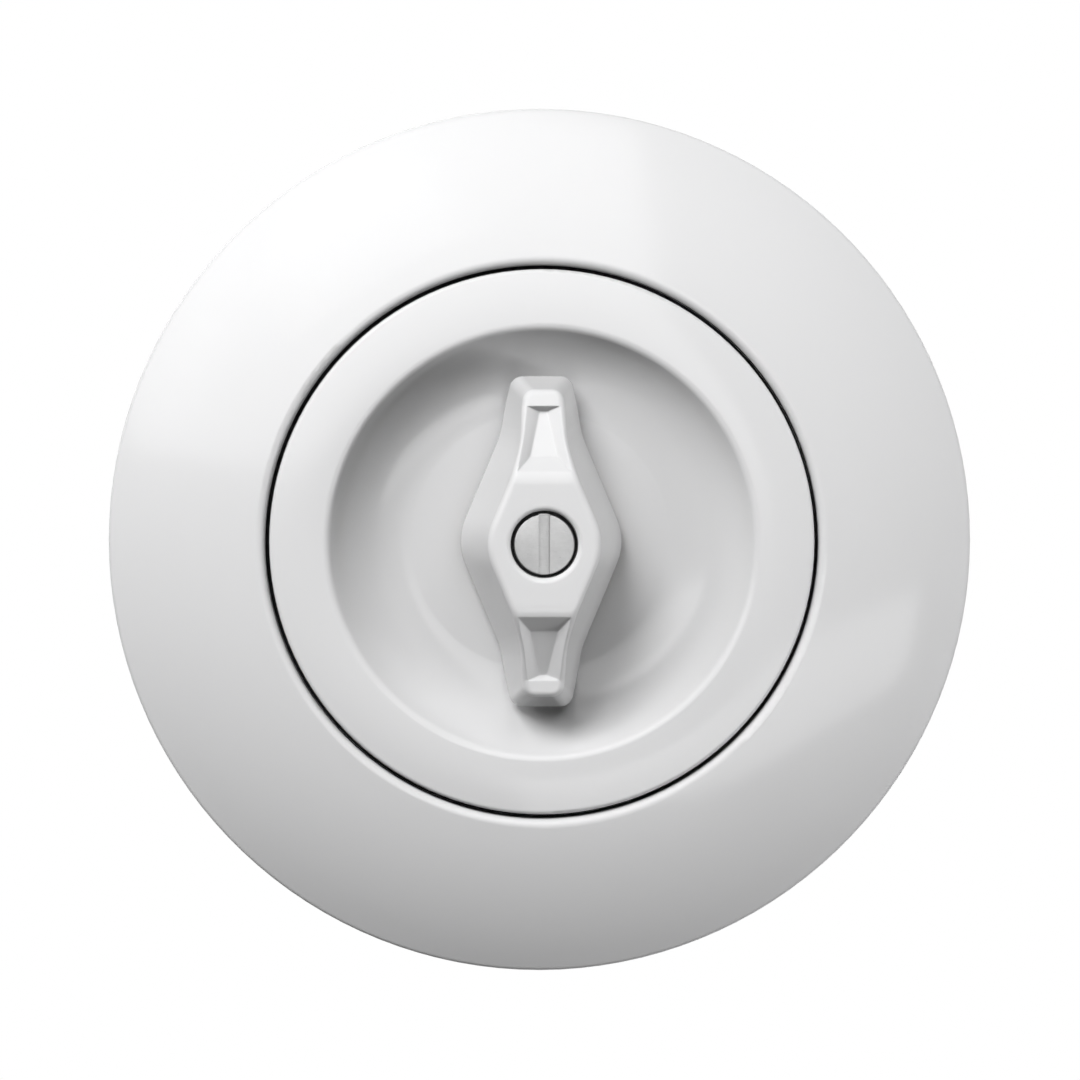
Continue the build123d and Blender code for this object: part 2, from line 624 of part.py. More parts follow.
def plate_nut():
    """Hexagonal nut with chamfered corners on the bushing."""
    corner = NUT_ACROSS_FLATS / sqrt(3)
    prism = extrude(Pos(0, 0, NUT_BOTTOM) * RegularPolygon(corner, 6), NUT_HEIGHT)
    bevel = corner - NUT_ACROSS_FLATS / 2
    shoulder = NUT_TOP - bevel / 2
    flank = [(corner, NUT_BOTTOM), (corner, shoulder), (corner - bevel, NUT_TOP)]
    turned_down = turned(make_face(Polyline((0, NUT_BOTTOM), *flank, (0, NUT_TOP), close=True)))
    return (prism & turned_down) - disc(BUSHING_RADIUS + THREAD_CLEARANCE, NUT_BOTTOM, NUT_TOP)


def lock_washer():
    """Toothed washer between the nut and the floor of the dish."""
    ring = tube(LOCK_WASHER_RADIUS, BUSHING_RADIUS + THREAD_CLEARANCE, BOWL_FLOOR, NUT_BOTTOM)
    depth = (LOCK_WASHER_RADIUS - LOCK_WASHER_NOTCH_DEPTH, LOCK_WASHER_RADIUS + 1)
    half = LOCK_WASHER_NOTCH_WIDTH / 2
    notch = block(depth, (-half, half), (BOWL_FLOOR, NUT_BOTTOM))
    for index in range(LOCK_WASHER_TEETH):
        ring -= Rot(0, 0, 360 * index / LOCK_WASHER_TEETH) * notch
    return ring


def pot_case():
    """Drawn metal can, open at the rear, with a window for the terminals."""
    can = disc(POT_RADIUS, POT_BOTTOM, POT_TOP)
    can = fillet(edges_near(can, POT_RADIUS, POT_TOP), POT_WALL)
    can -= disc(POT_RADIUS - POT_WALL, POT_BOTTOM, POT_TOP - POT_WALL)
    can -= disc(BUSHING_SPIGOT_RADIUS + THREAD_CLEARANCE, POT_BOTTOM, POT_TOP)
    half = POT_TERMINAL_PITCH + POT_TERMINAL_WIDTH
    window_top = TRACK_TOP + POT_WINDOW_RISE
    return can - block((-half, half), (-POT_RADIUS, -POT_RADIUS / 2), (POT_BOTTOM, window_top))


def track_disc():
    """Insulating disc that closes the can."""
    radius = POT_RADIUS - POT_WALL - THREAD_CLEARANCE
    top = POT_BOTTOM + TRACK_DISC_THICKNESS
    return tube(radius, SPINDLE_RADIUS + BUSHING_HOLE_CLEARANCE, POT_BOTTOM, top)


def resistor_track():
    """Horseshoe of resistance material with its gap at the terminals."""
    outer = TRACK_RADIUS + TRACK_WIDTH / 2
    ring = tube(outer, outer - TRACK_WIDTH, TRACK_TOP - TRACK_THICKNESS, TRACK_TOP)
    half_gap = radians((360 - TRACK_SPAN) / 2)
    reach = outer * 1.5
    wedge = make_face(
        Polyline((0, 0), (-reach * sin(half_gap), -reach), (reach * sin(half_gap), -reach), close=True)
    )
    return ring - extrude(Pos(0, 0, TRACK_TOP - 1) * wedge, 2)


def pot_terminals():
    """Three strips that leave the disc and turn down to the board."""
    front = -(TRACK_RADIUS + TRACK_WIDTH / 2 - POT_TERMINAL_LAP)
    back = -(POT_RADIUS + POT_TERMINAL_REACH)
    top = POT_BOTTOM + TRACK_DISC_THICKNESS + POT_TERMINAL_THICKNESS
    strips = []
    for index in (-1, 0, 1):
        middle = index * POT_TERMINAL_PITCH
        width = (middle - POT_TERMINAL_WIDTH / 2, middle + POT_TERMINAL_WIDTH / 2)
        strip = block(width, (back, front), (top - POT_TERMINAL_THICKNESS, top))
        strips.append(strip + block(width, (back, back + POT_TERMINAL_THICKNESS), (BOARD_TOP, top)))
    return Compound(strips)


def wiper_rotor():
    """Moulded disc that the spindle turns and slides through."""
    body = disc(ROTOR_RADIUS, ROTOR_BOTTOM, ROTOR_TOP)
    hole = disc(ROTOR_HOLE_RADIUS, ROTOR_BOTTOM, ROTOR_TOP, x=ROTOR_HOLE_PLACE)
    for index in range(ROTOR_HOLES):
        body -= Rot(0, 0, 360 * (index + 0.5) / ROTOR_HOLES) * hole
    return body - d_bore(ROTOR_BOTTOM, ROTOR_TOP, FIT_CLEARANCE)


def wiper_contact():
    """Spring strip under the rotor with two sliding fingers on the track."""
    sheet = ROTOR_BOTTOM - POT_TERMINAL_THICKNESS
    strip = tube(TRACK_RADIUS + TRACK_WIDTH / 2, SPINDLE_RADIUS + 1, sheet, ROTOR_BOTTOM)
    strip &= block((-TRACK_WIDTH, TRACK_WIDTH), (0, POT_RADIUS), (sheet, ROTOR_BOTTOM))
    along = (TRACK_RADIUS - TRACK_WIDTH / 2, TRACK_RADIUS + TRACK_WIDTH / 2)
    for side in (-1, 1):
        across = sorted((side * TRACK_WIDTH / 4, side * 3 * TRACK_WIDTH / 4))
        strip += block(across, along, (TRACK_TOP + WIPER_GAP, ROTOR_BOTTOM))
    return strip & disc(TRACK_RADIUS + TRACK_WIDTH / 2, TRACK_TOP, ROTOR_BOTTOM)


def switch_case():
    """Open box of the push switch, closed by the control above it."""
    half_x = SWITCH_LENGTH / 2
    half_y = SWITCH_WIDTH / 2
    body = block((-half_x, half_x), (-half_y, half_y), (SWITCH_BOTTOM, SWITCH_TOP))
    inner_x = half_x - SWITCH_WALL
    inner_y = half_y - SWITCH_WALL
    body -= block((-inner_x, inner_x), (-inner_y, inner_y), (SWITCH_FLOOR, SWITCH_TOP - SWITCH_WALL))
    return body - disc(PLUNGER_RADIUS + FIT_CLEARANCE, SWITCH_TOP - SWITCH_WALL, SWITCH_TOP)


def switch_plunger():
    """Plunger that the spindle's end pushes."""
    body = disc(PLUNGER_RADIUS, FLANGE_TOP, SPINDLE_END)
    body += disc(PLUNGER_FLANGE_RADIUS, FLANGE_BOTTOM, FLANGE_TOP)
    return body + disc(PLUNGER_PIN_RADIUS, PLUNGER_PIN_END, FLANGE_BOTTOM)


def moving_contact():
    """Contact bridge under the flange of the plunger."""
    half = BRIDGE_LENGTH / 2
    bridge = block((-half, half), (-BRIDGE_WIDTH / 2, BRIDGE_WIDTH / 2), (BRIDGE_BOTTOM, FLANGE_BOTTOM))
    return bridge - disc(PLUNGER_PIN_RADIUS + THREAD_CLEARANCE, BRIDGE_BOTTOM, FLANGE_BOTTOM)


def fixed_contacts():
    """Two contact posts that stand in the floor of the switch."""
    reach = BRIDGE_LENGTH / 2 - CONTACT_RADIUS
    posts = []
    for x in (-reach, reach):
        post = disc(CONTACT_RADIUS, SWITCH_FLOOR, FIXED_CONTACT_TOP, x=x)
        posts.append(post)
    return Compound(posts)


def return_spring():
    """Coil spring between the bridge and the floor of the switch."""
    height = BRIDGE_BOTTOM - SWITCH_FLOOR - 2 * SPRING_WIRE_RADIUS
    path = Helix(pitch=height / SPRING_TURNS, height=height, radius=SPRING_RADIUS)
    start = Plane(origin=path @ 0, z_dir=path % 0)
    wire = sweep(start * Circle(SPRING_WIRE_RADIUS), path=path)
    return Pos(0, 0, SWITCH_FLOOR + SPRING_WIRE_RADIUS) * wire


def insert_outline(inset=0.0):
    """Round outline of the housing with flat sides, for the claws, and flat ends."""
    width = 2 * (INSERT_HALF_WIDTH - inset)
    height = 2 * (INSERT_HALF_HEIGHT - inset)
    outline = Circle(INSERT_RADIUS - inset) & Rectangle(width, height)
    return outline


def insert_cover():
    """Front half of the housing, with the raised seat for the centre plate."""
    body = extrude(Pos(0, 0, -INSERT_SPLIT) * insert_outline(), INSERT_SPLIT)
    inside = Pos(0, 0, -INSERT_SPLIT) * insert_outline(INSERT_WALL)
    body -= extrude(inside, INSERT_SPLIT - INSERT_WALL)
    body += disc(COVER_BOSS_RADIUS, -INSERT_WALL, COVER_BOSS_HEIGHT)
    body -= disc(COVER_BOSS_RADIUS - INSERT_WALL, -INSERT_WALL, BOSS_ROOF_UNDERSIDE)
    body -= disc(BUSHING_HOLE, BOSS_ROOF_UNDERSIDE, COVER_BOSS_HEIGHT)
    for x, y in CASE_BOSSES:
        body += disc(CASE_BOSS_RADIUS, -INSERT_SPLIT, -INSERT_WALL, x, y) & extrude(
            Pos(0, 0, -INSERT_SPLIT) * insert_outline(INSERT_WALL / 2), INSERT_SPLIT
        )
        body -= disc(CASE_SCREW_RADIUS + THREAD_CLEARANCE, -INSERT_SPLIT, -INSERT_WALL, x, y)
    for x, y in PLATE_SCREWS:
        body += disc(CASE_BOSS_RADIUS, -PLATE_SCREW_LENGTH + PLATE_BOSS_SPARE, -INSERT_WALL, x, y)
        body -= disc(PLATE_SCREW_RADIUS + THREAD_CLEARANCE, -PLATE_SCREW_LENGTH, 0, x, y)
    return body


def insert_base():
    """Rear half of the housing, with wire openings, bosses and claw guide ribs."""
    height = INSERT_DEPTH - INSERT_SPLIT
    body = extrude(Pos(0, 0, -INSERT_DEPTH) * insert_outline(), height)
    body = fillet(body.faces().sort_by(Axis.Z)[0].edges(), INSERT_REAR_ROUNDING)
    hollow_height = -INSERT_SPLIT - BASE_FLOOR
    body -= extrude(Pos(0, 0, BASE_FLOOR) * insert_outline(INSERT_WALL), hollow_height)
    hollow_limit = extrude(Pos(0, 0, BASE_FLOOR) * insert_outline(INSERT_WALL / 2), hollow_height)
    for x, y in CASE_BOSSES:
        body += disc(CASE_BOSS_RADIUS, BASE_FLOOR, -INSERT_SPLIT, x, y) & hollow_limit
    for x, y in BOARD_POSTS:
        body += disc(BOARD_POST_RADIUS, BASE_FLOOR, BOARD_BOTTOM, x, y)
    head_top = -INSERT_DEPTH + CASE_SCREW_HEAD
    for x, y in CASE_BOSSES:
        body -= disc(CASE_SCREW_RADIUS + THREAD_CLEARANCE, -INSERT_DEPTH, -INSERT_SPLIT, x, y)
        body -= disc(CASE_SCREW_HEAD_RADIUS + THREAD_CLEARANCE, -INSERT_DEPTH, head_top, x, y)
    wire_opening = Rot(90, 0, 0) * Cylinder(TERMINAL_BORE + WIRE_OPENING_CLEARANCE, 4 * INSERT_WALL)
    screw_opening = TERMINAL_SCREW_HEAD_RADIUS + WIRE_OPENING_CLEARANCE
    for x in TERMINAL_XS:
        body -= Pos(x, -INSERT_HALF_HEIGHT, TERMINAL_BORE_Z) * wire_opening
        body -= disc(screw_opening, -INSERT_DEPTH, BASE_FLOOR, x, TERMINAL_Y)
    return body + claw_ribs()


def claw_ribs():
    """Two guide ribs on each flat side of the housing, one above and one below the claw."""
    inner = CLAW_HALF_Y + CLAW_RIB_GAP
    root = INSERT_HALF_WIDTH - INSERT_WALL / 2
    tip = INSERT_HALF_WIDTH + CLAW_RIB_REACH
    ribs = []
    for side in (-1, 1):
        for end in (-1, 1):
            across = sorted((side * root, side * tip))
            along = sorted((end * inner, end * (inner + CLAW_RIB_THICKNESS)))
            ribs.append(block(across, along, (-INSERT_DEPTH + CLAW_RIB_END_GAP, -INSERT_SPLIT)))
    return ribs


def case_screws():
    """Two long screws from the rear."""
    top = -INSERT_WALL - CASE_SCREW_SPARE
    screws = []
    for x, y in CASE_BOSSES:
        screw = disc(CASE_SCREW_RADIUS, -INSERT_DEPTH, top, x, y)
        screw += disc(CASE_SCREW_HEAD_RADIUS, -INSERT_DEPTH, -INSERT_DEPTH + CASE_SCREW_HEAD, x, y)
        screw -= slotted(-INSERT_DEPTH, CASE_SCREW_HEAD_RADIUS, SLOT_WIDTH, SLOT_DEPTH, x, y)
        screws.append(screw)
    return Compound(screws)


def circuit_board():
    """Board cut to the inside of the housing, notched round its bosses."""
    inside = insert_outline(INSERT_WALL + BOARD_EDGE_GAP) & Circle(BOARD_RADIUS)
    board = extrude(Pos(0, 0, BOARD_BOTTOM) * inside, BOARD_THICKNESS)
    for x, y in CASE_BOSSES:
        board -= disc(CASE_BOSS_RADIUS + BOARD_EDGE_GAP, BOARD_BOTTOM, BOARD_TOP, x, y)
    return board


def choke_core():
    """Ring core lying on the board."""
    margin = 2 * WIRE_RADIUS + THREAD_CLEARANCE
    low = BOARD_TOP + margin
    high = BOARD_TOP + CHOKE_HEIGHT - margin
    core = tube(CHOKE_RADIUS - margin, CHOKE_BORE + margin, low, high, y=CHOKE_Y)
    return fillet(core.edges().filter_by(GeomType.CIRCLE), WIRE_RADIUS)


def choke_winding():
    """Turns of enamelled wire round the core, each a closed rounded loop."""
    outer = CHOKE_RADIUS - WIRE_RADIUS
    inner = CHOKE_BORE + WIRE_RADIUS
    low = BOARD_TOP + WIRE_RADIUS
    high = BOARD_TOP + CHOKE_HEIGHT - WIRE_RADIUS
    middle = ((outer + inner) / 2, (low + high) / 2)
    path = Plane.XZ * (Pos(*middle) * RectangleRounded(outer - inner, high - low, WIRE_RADIUS * 1.5))
    route = path.wire()
    section = Plane(origin=route @ 0, z_dir=route % 0) * RegularPolygon(WIRE_RADIUS, 6)
    wire = sweep(section, path=route)
    turns = []
    for index in range(CHOKE_TURNS):
        angle = 360 * index / CHOKE_TURNS
        turns.append(Pos(0, CHOKE_Y, 0) * Rot(0, 0, angle) * wire)
    return Compound(turns)


def film_capacitor():
    """Boxed film capacitor."""
    half = CAPACITOR_LENGTH / 2
    ys = (CAPACITOR_Y - CAPACITOR_WIDTH / 2, CAPACITOR_Y + CAPACITOR_WIDTH / 2)
    body = block((-half, half), ys, (BOARD_TOP, BOARD_TOP + CAPACITOR_HEIGHT))
    upper_edges = body.edges().filter_by(Axis.Z) + body.faces().sort_by(Axis.Z)[-1].edges()
    return fillet(upper_edges, CAPACITOR_ROUNDING)


def timing_capacitor():
    """Small film capacitor beside the terminals of the control."""
    x = POT_RADIUS + TIMING_LENGTH / 2 - TIMING_UNDERLAP
    y = -POT_RADIUS - TIMING_WIDTH
    body = block(
        (x - TIMING_LENGTH / 2, x + TIMING_LENGTH / 2),
        (y - TIMING_WIDTH / 2, y + TIMING_WIDTH / 2),
        (BOARD_TOP, BOARD_TOP + TIMING_HEIGHT),
    )
    return fillet(body.edges().filter_by(Axis.Z), TIMING_ROUNDING)


def heat_sink_face():
    """Distance from the middle to the face of the heat sink that the triac sits on."""
    return INSERT_HALF_WIDTH - INSERT_WALL - HEAT_SINK_GAP - HEAT_SINK_THICKNESS


def heat_sink():
    """Aluminium plate along the side of the housing."""
    face = heat_sink_face()
    half = HEAT_SINK_WIDTH / 2
    xs = (-face - HEAT_SINK_THICKNESS, -face)
    return block(xs, (-half, half), (BOARD_TOP, BOARD_TOP + HEAT_SINK_HEIGHT))


def triac():
    """Power device with its tab against the heat sink and three leads in the board."""
    face = heat_sink_face()
    half = TRIAC_WIDTH / 2
    low = BOARD_TOP + TRIAC_LEAD_HEIGHT
    high = low + TRIAC_HEIGHT
    body = block((-face, -face + TRIAC_THICKNESS), (-half, half), (low, high))
    body = chamfer(body.faces().sort_by(Axis.X)[-1].edges(), TRIAC_CHAMFER)
    tab_top = min(high + TRIAC_TAB_HEIGHT, -INSERT_WALL - TRIAC_TAB_GAP)
    body += block((-face, -face + TRIAC_TAB_THICKNESS), (-half, half), (high, tab_top))
    for index in (-1, 0, 1):
        y = index * TRIAC_WIDTH / 4
        middle = -face + TRIAC_THICKNESS / 2
        lead = Rectangle(TRIAC_LEAD_THICKNESS, TRIAC_LEAD_WIDTH)
        body += extrude(Pos(middle, y, BOARD_TOP) * lead, low - BOARD_TOP)
    return body


def fuse_place():
    """Place of the fuse's axis as its distance to the side and its height."""
    side = INSERT_HALF_WIDTH - INSERT_WALL - FUSE_SIDE_GAP - FUSE_CLIP_THICKNESS - FUSE_RADIUS
    return side, BOARD_TOP + FUSE_LIFT + FUSE_RADIUS


def fuse():
    """Glass fuse with its two end caps."""
    x, z = fuse_place()
    lying = Pos(x, 0, z) * Rot(90, 0, 0)
    body = lying * Cylinder(FUSE_RADIUS - FUSE_CAP_WALL, FUSE_LENGTH)
    for side in (-1, 1):
        y = side * (FUSE_LENGTH - FUSE_CAP_LENGTH) / 2
        body += Pos(x, y, z) * Rot(90, 0, 0) * Cylinder(FUSE_RADIUS, FUSE_CAP_LENGTH)
    return body


def fuse_clips():
    """Two open clips that grip the caps and stand on the board."""
    x, z = fuse_place()
    inner = FUSE_RADIUS + THREAD_CLEARANCE
    outer = inner + FUSE_CLIP_THICKNESS
    clips = []
    for side in (-1, 1):
        y = side * (FUSE_LENGTH - FUSE_CAP_LENGTH) / 2
        place = Pos(x, y, z) * Rot(90, 0, 0)
        ring = place * (Cylinder(outer, FUSE_CLIP_LENGTH) - Cylinder(inner, FUSE_CLIP_LENGTH + 1))
        mouth_half = FUSE_RADIUS / 2
        across = (x - mouth_half, x + mouth_half)
        mouth = block(across, (y - FUSE_CLIP_LENGTH, y + FUSE_CLIP_LENGTH), (z, z + 2 * outer))
        length = (y - FUSE_CLIP_LENGTH / 2, y + FUSE_CLIP_LENGTH / 2)
        foot = block((x - FUSE_CLIP_FOOT / 2, x + FUSE_CLIP_FOOT / 2), length, (BOARD_TOP, z - inner))
        clips.append(ring - mouth + (foot - place * Cylinder(inner, FUSE_CLIP_LENGTH + 1)))
    return Compound(clips)


def axial_part(x, y, radius, length, turn):
    """Small round component lying on the board, on two bent leads."""
    z = radius + RESISTOR_LIFT
    lead_reach = length / 2 + LEAD_REACH
    body = Pos(0, 0, z) * Rot(0, 90, 0) * Cylinder(radius, length)
    body += Pos(0, 0, z) * Rot(0, 90, 0) * Cylinder(LEAD_RADIUS, 2 * lead_reach)
    for side in (-1, 1):
        body += disc(LEAD_RADIUS, 0, z, x=side * (lead_reach - LEAD_RADIUS))
    return Pos(x, y, BOARD_TOP) * Rot(0, 0, turn) * body


def resistors():
    """Two resistors between the switch and the choke, and one beside the choke."""
    beside_switch = SWITCH_WIDTH / 2 + RESISTOR_RADIUS + PART_SPACING
    row = (RESISTOR_LENGTH + RESISTOR_ROW_GAP) / 2
    beside_choke = CHOKE_RADIUS + CHOKE_SIDE_GAP + RESISTOR_RADIUS
    places = ((-row, beside_switch, 0), (row, beside_switch, 0), (-beside_choke, CHOKE_Y - LEAD_REACH, 90))
    return Compound([axial_part(x, y, RESISTOR_RADIUS, RESISTOR_LENGTH, turn) for x, y, turn in places])


def diac():
    """Small glass trigger diode beside the choke."""
    x = CHOKE_RADIUS + CHOKE_SIDE_GAP + DIAC_RADIUS
    return axial_part(x, CHOKE_Y - DIAC_LENGTH / 2, DIAC_RADIUS, DIAC_LENGTH, 90)


def terminal_cages():
    """Three brass cages, each with a wire bore and a tapped hole."""
    cages = []
    for x in TERMINAL_XS:
        half = TERMINAL_WIDTH / 2
        ys = (TERMINAL_Y - TERMINAL_LENGTH / 2, TERMINAL_Y + TERMINAL_LENGTH / 2)
        cage = block((x - half, x + half), ys, (TERMINAL_BOTTOM, BOARD_BOTTOM))
        cage = chamfer(cage.edges().filter_by(Axis.Y), TERMINAL_CHAMFER)
        bore = Pos(x, TERMINAL_Y, TERMINAL_BORE_Z) * Rot(90, 0, 0)
        cage -= bore * Cylinder(TERMINAL_BORE, TERMINAL_LENGTH)
        thread = TERMINAL_SCREW_RADIUS + THREAD_CLEARANCE
        cage -= disc(thread, TERMINAL_BOTTOM, TERMINAL_BORE_Z, x, TERMINAL_Y)
        cages.append(cage)
    return Compound(cages)


def terminal_screws():
    """Three screws, turned from the rear, that clamp the wires."""
    screws = []
    for x in TERMINAL_XS:
        tip = TERMINAL_BORE_Z - TERMINAL_BORE - THREAD_CLEARANCE
        head_bottom = TERMINAL_BOTTOM - TERMINAL_SCREW_HEAD
        screw = disc(TERMINAL_SCREW_RADIUS, TERMINAL_BOTTOM, tip, x, TERMINAL_Y)
        screw += disc(TERMINAL_SCREW_HEAD_RADIUS, head_bottom, TERMINAL_BOTTOM, x, TERMINAL_Y)
        screw -= slotted(head_bottom, TERMINAL_SCREW_HEAD_RADIUS, SLOT_WIDTH, SLOT_DEPTH, x, TERMINAL_Y)
        screws.append(screw)
    return Compound(screws)


def support_plate():
    """Square steel plate with cut corners, arc slots, corner holes and a round opening."""
    sheet = Rectangle(SUPPORT_SIDE, SUPPORT_SIDE)
    sheet = chamfer(sheet.vertices(), SUPPORT_CORNER_CUT)
    sheet = fillet(sheet.vertices(), SUPPORT_CORNER_ROUNDING)
    plate = extrude(sheet, SUPPORT_THICKNESS)
    plate -= disc(COVER_BOSS_RADIUS + SUPPORT_OPENING_CLEARANCE, 0, SUPPORT_THICKNESS)
    slot_line = CenterArc((0, 0), BOX_SCREW_SPACING / 2, -BOX_SLOT_HALF_ANGLE, 2 * BOX_SLOT_HALF_ANGLE)
    slot = SlotArc(slot_line, BOX_SLOT_WIDTH)
    for index in range(4):
        plate -= Rot(0, 0, 90 * index) * extrude(slot, SUPPORT_THICKNESS)
        hole = disc(CORNER_HOLE_RADIUS, 0, SUPPORT_THICKNESS, x=CORNER_HOLE_CIRCLE / 2)
        plate -= Rot(0, 0, 45 + 90 * index) * hole
    for side in (-1, 1):
        plate -= disc(CLAW_SCREW_RADIUS + CLAW_HOLE_CLEARANCE, 0, SUPPORT_THICKNESS, x=side * CLAW_X)
    for x, y in PLATE_SCREWS:
        plate -= countersunk(x, y, THREAD_CLEARANCE)
    return plate


def countersunk(x, y, clearance):
    """Countersunk screw with its head flush with the support plate, grown by a clearance."""
    head = PLATE_SCREW_HEAD_RADIUS + clearance
    shank = PLATE_SCREW_RADIUS + clearance
    cone_height = head - shank
    body = disc(shank, -PLATE_SCREW_LENGTH + SUPPORT_THICKNESS, SUPPORT_THICKNESS, x, y)
    return body + Pos(x, y, SUPPORT_THICKNESS - cone_height / 2) * Cone(shank, head, cone_height)


def plate_screws():
    """Two countersunk screws that hold the support plate on the housing."""
    screws = []
    for x, y in PLATE_SCREWS:
        slot = slotted(SUPPORT_THICKNESS, PLATE_SCREW_HEAD_RADIUS, SLOT_WIDTH, SLOT_DEPTH, x, y)
        screws.append(countersunk(x, y, 0) - slot)
    return Compound(screws)


def claw_screw(side):
    """Long screw that draws one claw towards the support plate."""
    x = side * CLAW_X
    top = SUPPORT_THICKNESS + CLAW_SCREW_HEAD
    head = disc(CLAW_SCREW_HEAD_RADIUS, SUPPORT_THICKNESS, top, x)
    head = fillet(head.faces().sort_by(Axis.Z)[-1].edges(), CLAW_SCREW_HEAD_ROUNDING)
    head -= slotted(top, CLAW_SCREW_HEAD_RADIUS, SLOT_WIDTH, SLOT_DEPTH, x)
    return head + disc(CLAW_SCREW_RADIUS, -CLAW_SCREW_LENGTH, SUPPORT_THICKNESS, x)


def claw_nut(side):
    """Threaded block with a trunnion on each side."""
    x = side * CLAW_X
    body = block(
        (x - CLAW_NUT_X / 2, x + CLAW_NUT_X / 2),
        (-CLAW_NUT_Y / 2, CLAW_NUT_Y / 2),
        (-CLAW_PIVOT_DEPTH - CLAW_NUT_Z / 2, -CLAW_PIVOT_DEPTH + CLAW_NUT_Z / 2),
    )
    body += Pos(x, 0, -CLAW_PIVOT_DEPTH) * Rot(90, 0, 0) * Cylinder(CLAW_TRUNNION_RADIUS, 2 * CLAW_HALF_Y)
    thread = CLAW_SCREW_RADIUS + FIT_CLEARANCE
    return body - disc(thread, -CLAW_SCREW_LENGTH, 0, x)


def claw(side):
    """Folded steel claw: a toothed web between two ears that turn on the trunnions."""
    pivot = -CLAW_PIVOT_DEPTH
    web_inner = CLAW_X + CLAW_WEB_OFFSET
    web_outer = web_inner + CLAW_SHEET
    top = pivot + CLAW_WEB_TOP
    bottom = pivot - CLAW_WEB_BOTTOM
    web = block((web_inner, web_outer), (-CLAW_HALF_Y, CLAW_HALF_Y), (bottom, top))
    pitch = 2 * CLAW_HALF_Y / CLAW_TEETH
    notch = make_face(Polyline((-pitch / 2, 0), (0, CLAW_TOOTH), (pitch / 2, 0), close=True))
    for index in range(CLAW_TEETH + 1):
        y = -CLAW_HALF_Y + index * pitch
        cutter = extrude(Pos(web_inner - 1, y, bottom) * (Plane.YZ * notch), CLAW_SHEET + 2)
        web -= cutter
    ear_outline = Pos(CLAW_X, pivot) * Circle(CLAW_EAR_RADIUS)
    ear_outline += make_face(
        Polyline(
            (CLAW_X, pivot - CLAW_EAR_RADIUS),
            (web_outer, pivot - CLAW_WEB_BOTTOM / 2),
            (web_outer, top),
            (CLAW_X, pivot + CLAW_EAR_RADIUS),
            close=True,
        )
    )
    ear_outline -= Pos(CLAW_X, pivot) * Circle(CLAW_TRUNNION_RADIUS + FIT_CLEARANCE)
    body = web
    inner_y = CLAW_HALF_Y - CLAW_SHEET
    for start in (-CLAW_HALF_Y, inner_y):
        body += extrude(Pos(0, start + CLAW_SHEET, 0) * (Plane.XZ * ear_outline), CLAW_SHEET)
    return body if side > 0 else mirror(body, Plane.YZ)


PIECES = {
    "frame_ring": frame_ring,
    "cushion_ring": cushion_ring,
    "centre_plate": centre_plate,
    "knob": knob,
    "knob_screw": knob_screw,
    "knob_washer": knob_washer,
    "spindle": spindle,
    "spindle_clip": spindle_clip,
    "plate_nut": plate_nut,
    "lock_washer": lock_washer,
    "pot_bushing": pot_bushing,
    "pot_case": pot_case,
    "track_disc": track_disc,
    "resistor_track": resistor_track,
    "pot_terminals": pot_terminals,
    "wiper_rotor": wiper_rotor,
    "wiper_contact": wiper_contact,
    "switch_case": switch_case,
    "switch_plunger": switch_plunger,
    "moving_contact": moving_contact,
    "fixed_contacts": fixed_contacts,
    "return_spring": return_spring,
    "insert_cover": insert_cover,
    "insert_base": insert_base,
    "case_screws": case_screws,
    "circuit_board": circuit_board,
    "choke_core": choke_core,
    "choke_winding": choke_winding,
    "film_capacitor": film_capacitor,
    "timing_capacitor": timing_capacitor,
    "heat_sink": heat_sink,
    "triac": triac,
    "fuse": fuse,
    "fuse_clips": fuse_clips,
    "resistors": resistors,
    "diac": diac,
    "terminal_cages": terminal_cages,
    "terminal_screws": terminal_screws,
    "support_plate": support_plate,
    "plate_screws": plate_screws,
    "claw_screw_left": lambda: claw_screw(-1),
    "claw_screw_right": lambda: claw_screw(1),
    "claw_nut_left": lambda: claw_nut(-1),
    "claw_nut_right": lambda: claw_nut(1),
    "claw_left": lambda: claw(-1),
    "claw_right": lambda: claw(1),
}

# Stands the drawing up: the front then faces -Y and the top of the wall is +Z
UPRIGHT = Rot(90, 0, 0)

os.makedirs("parts", exist_ok=True)
for name, build in PIECES.items():
    export_step(UPRIGHT * build(), f"parts/{name}.step")
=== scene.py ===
import json
from math import cos, pi, radians, sin, tan

import bmesh
import bpy
from bpy.props import FloatProperty, FloatVectorProperty, IntProperty, PointerProperty
from mathutils import Matrix, Vector


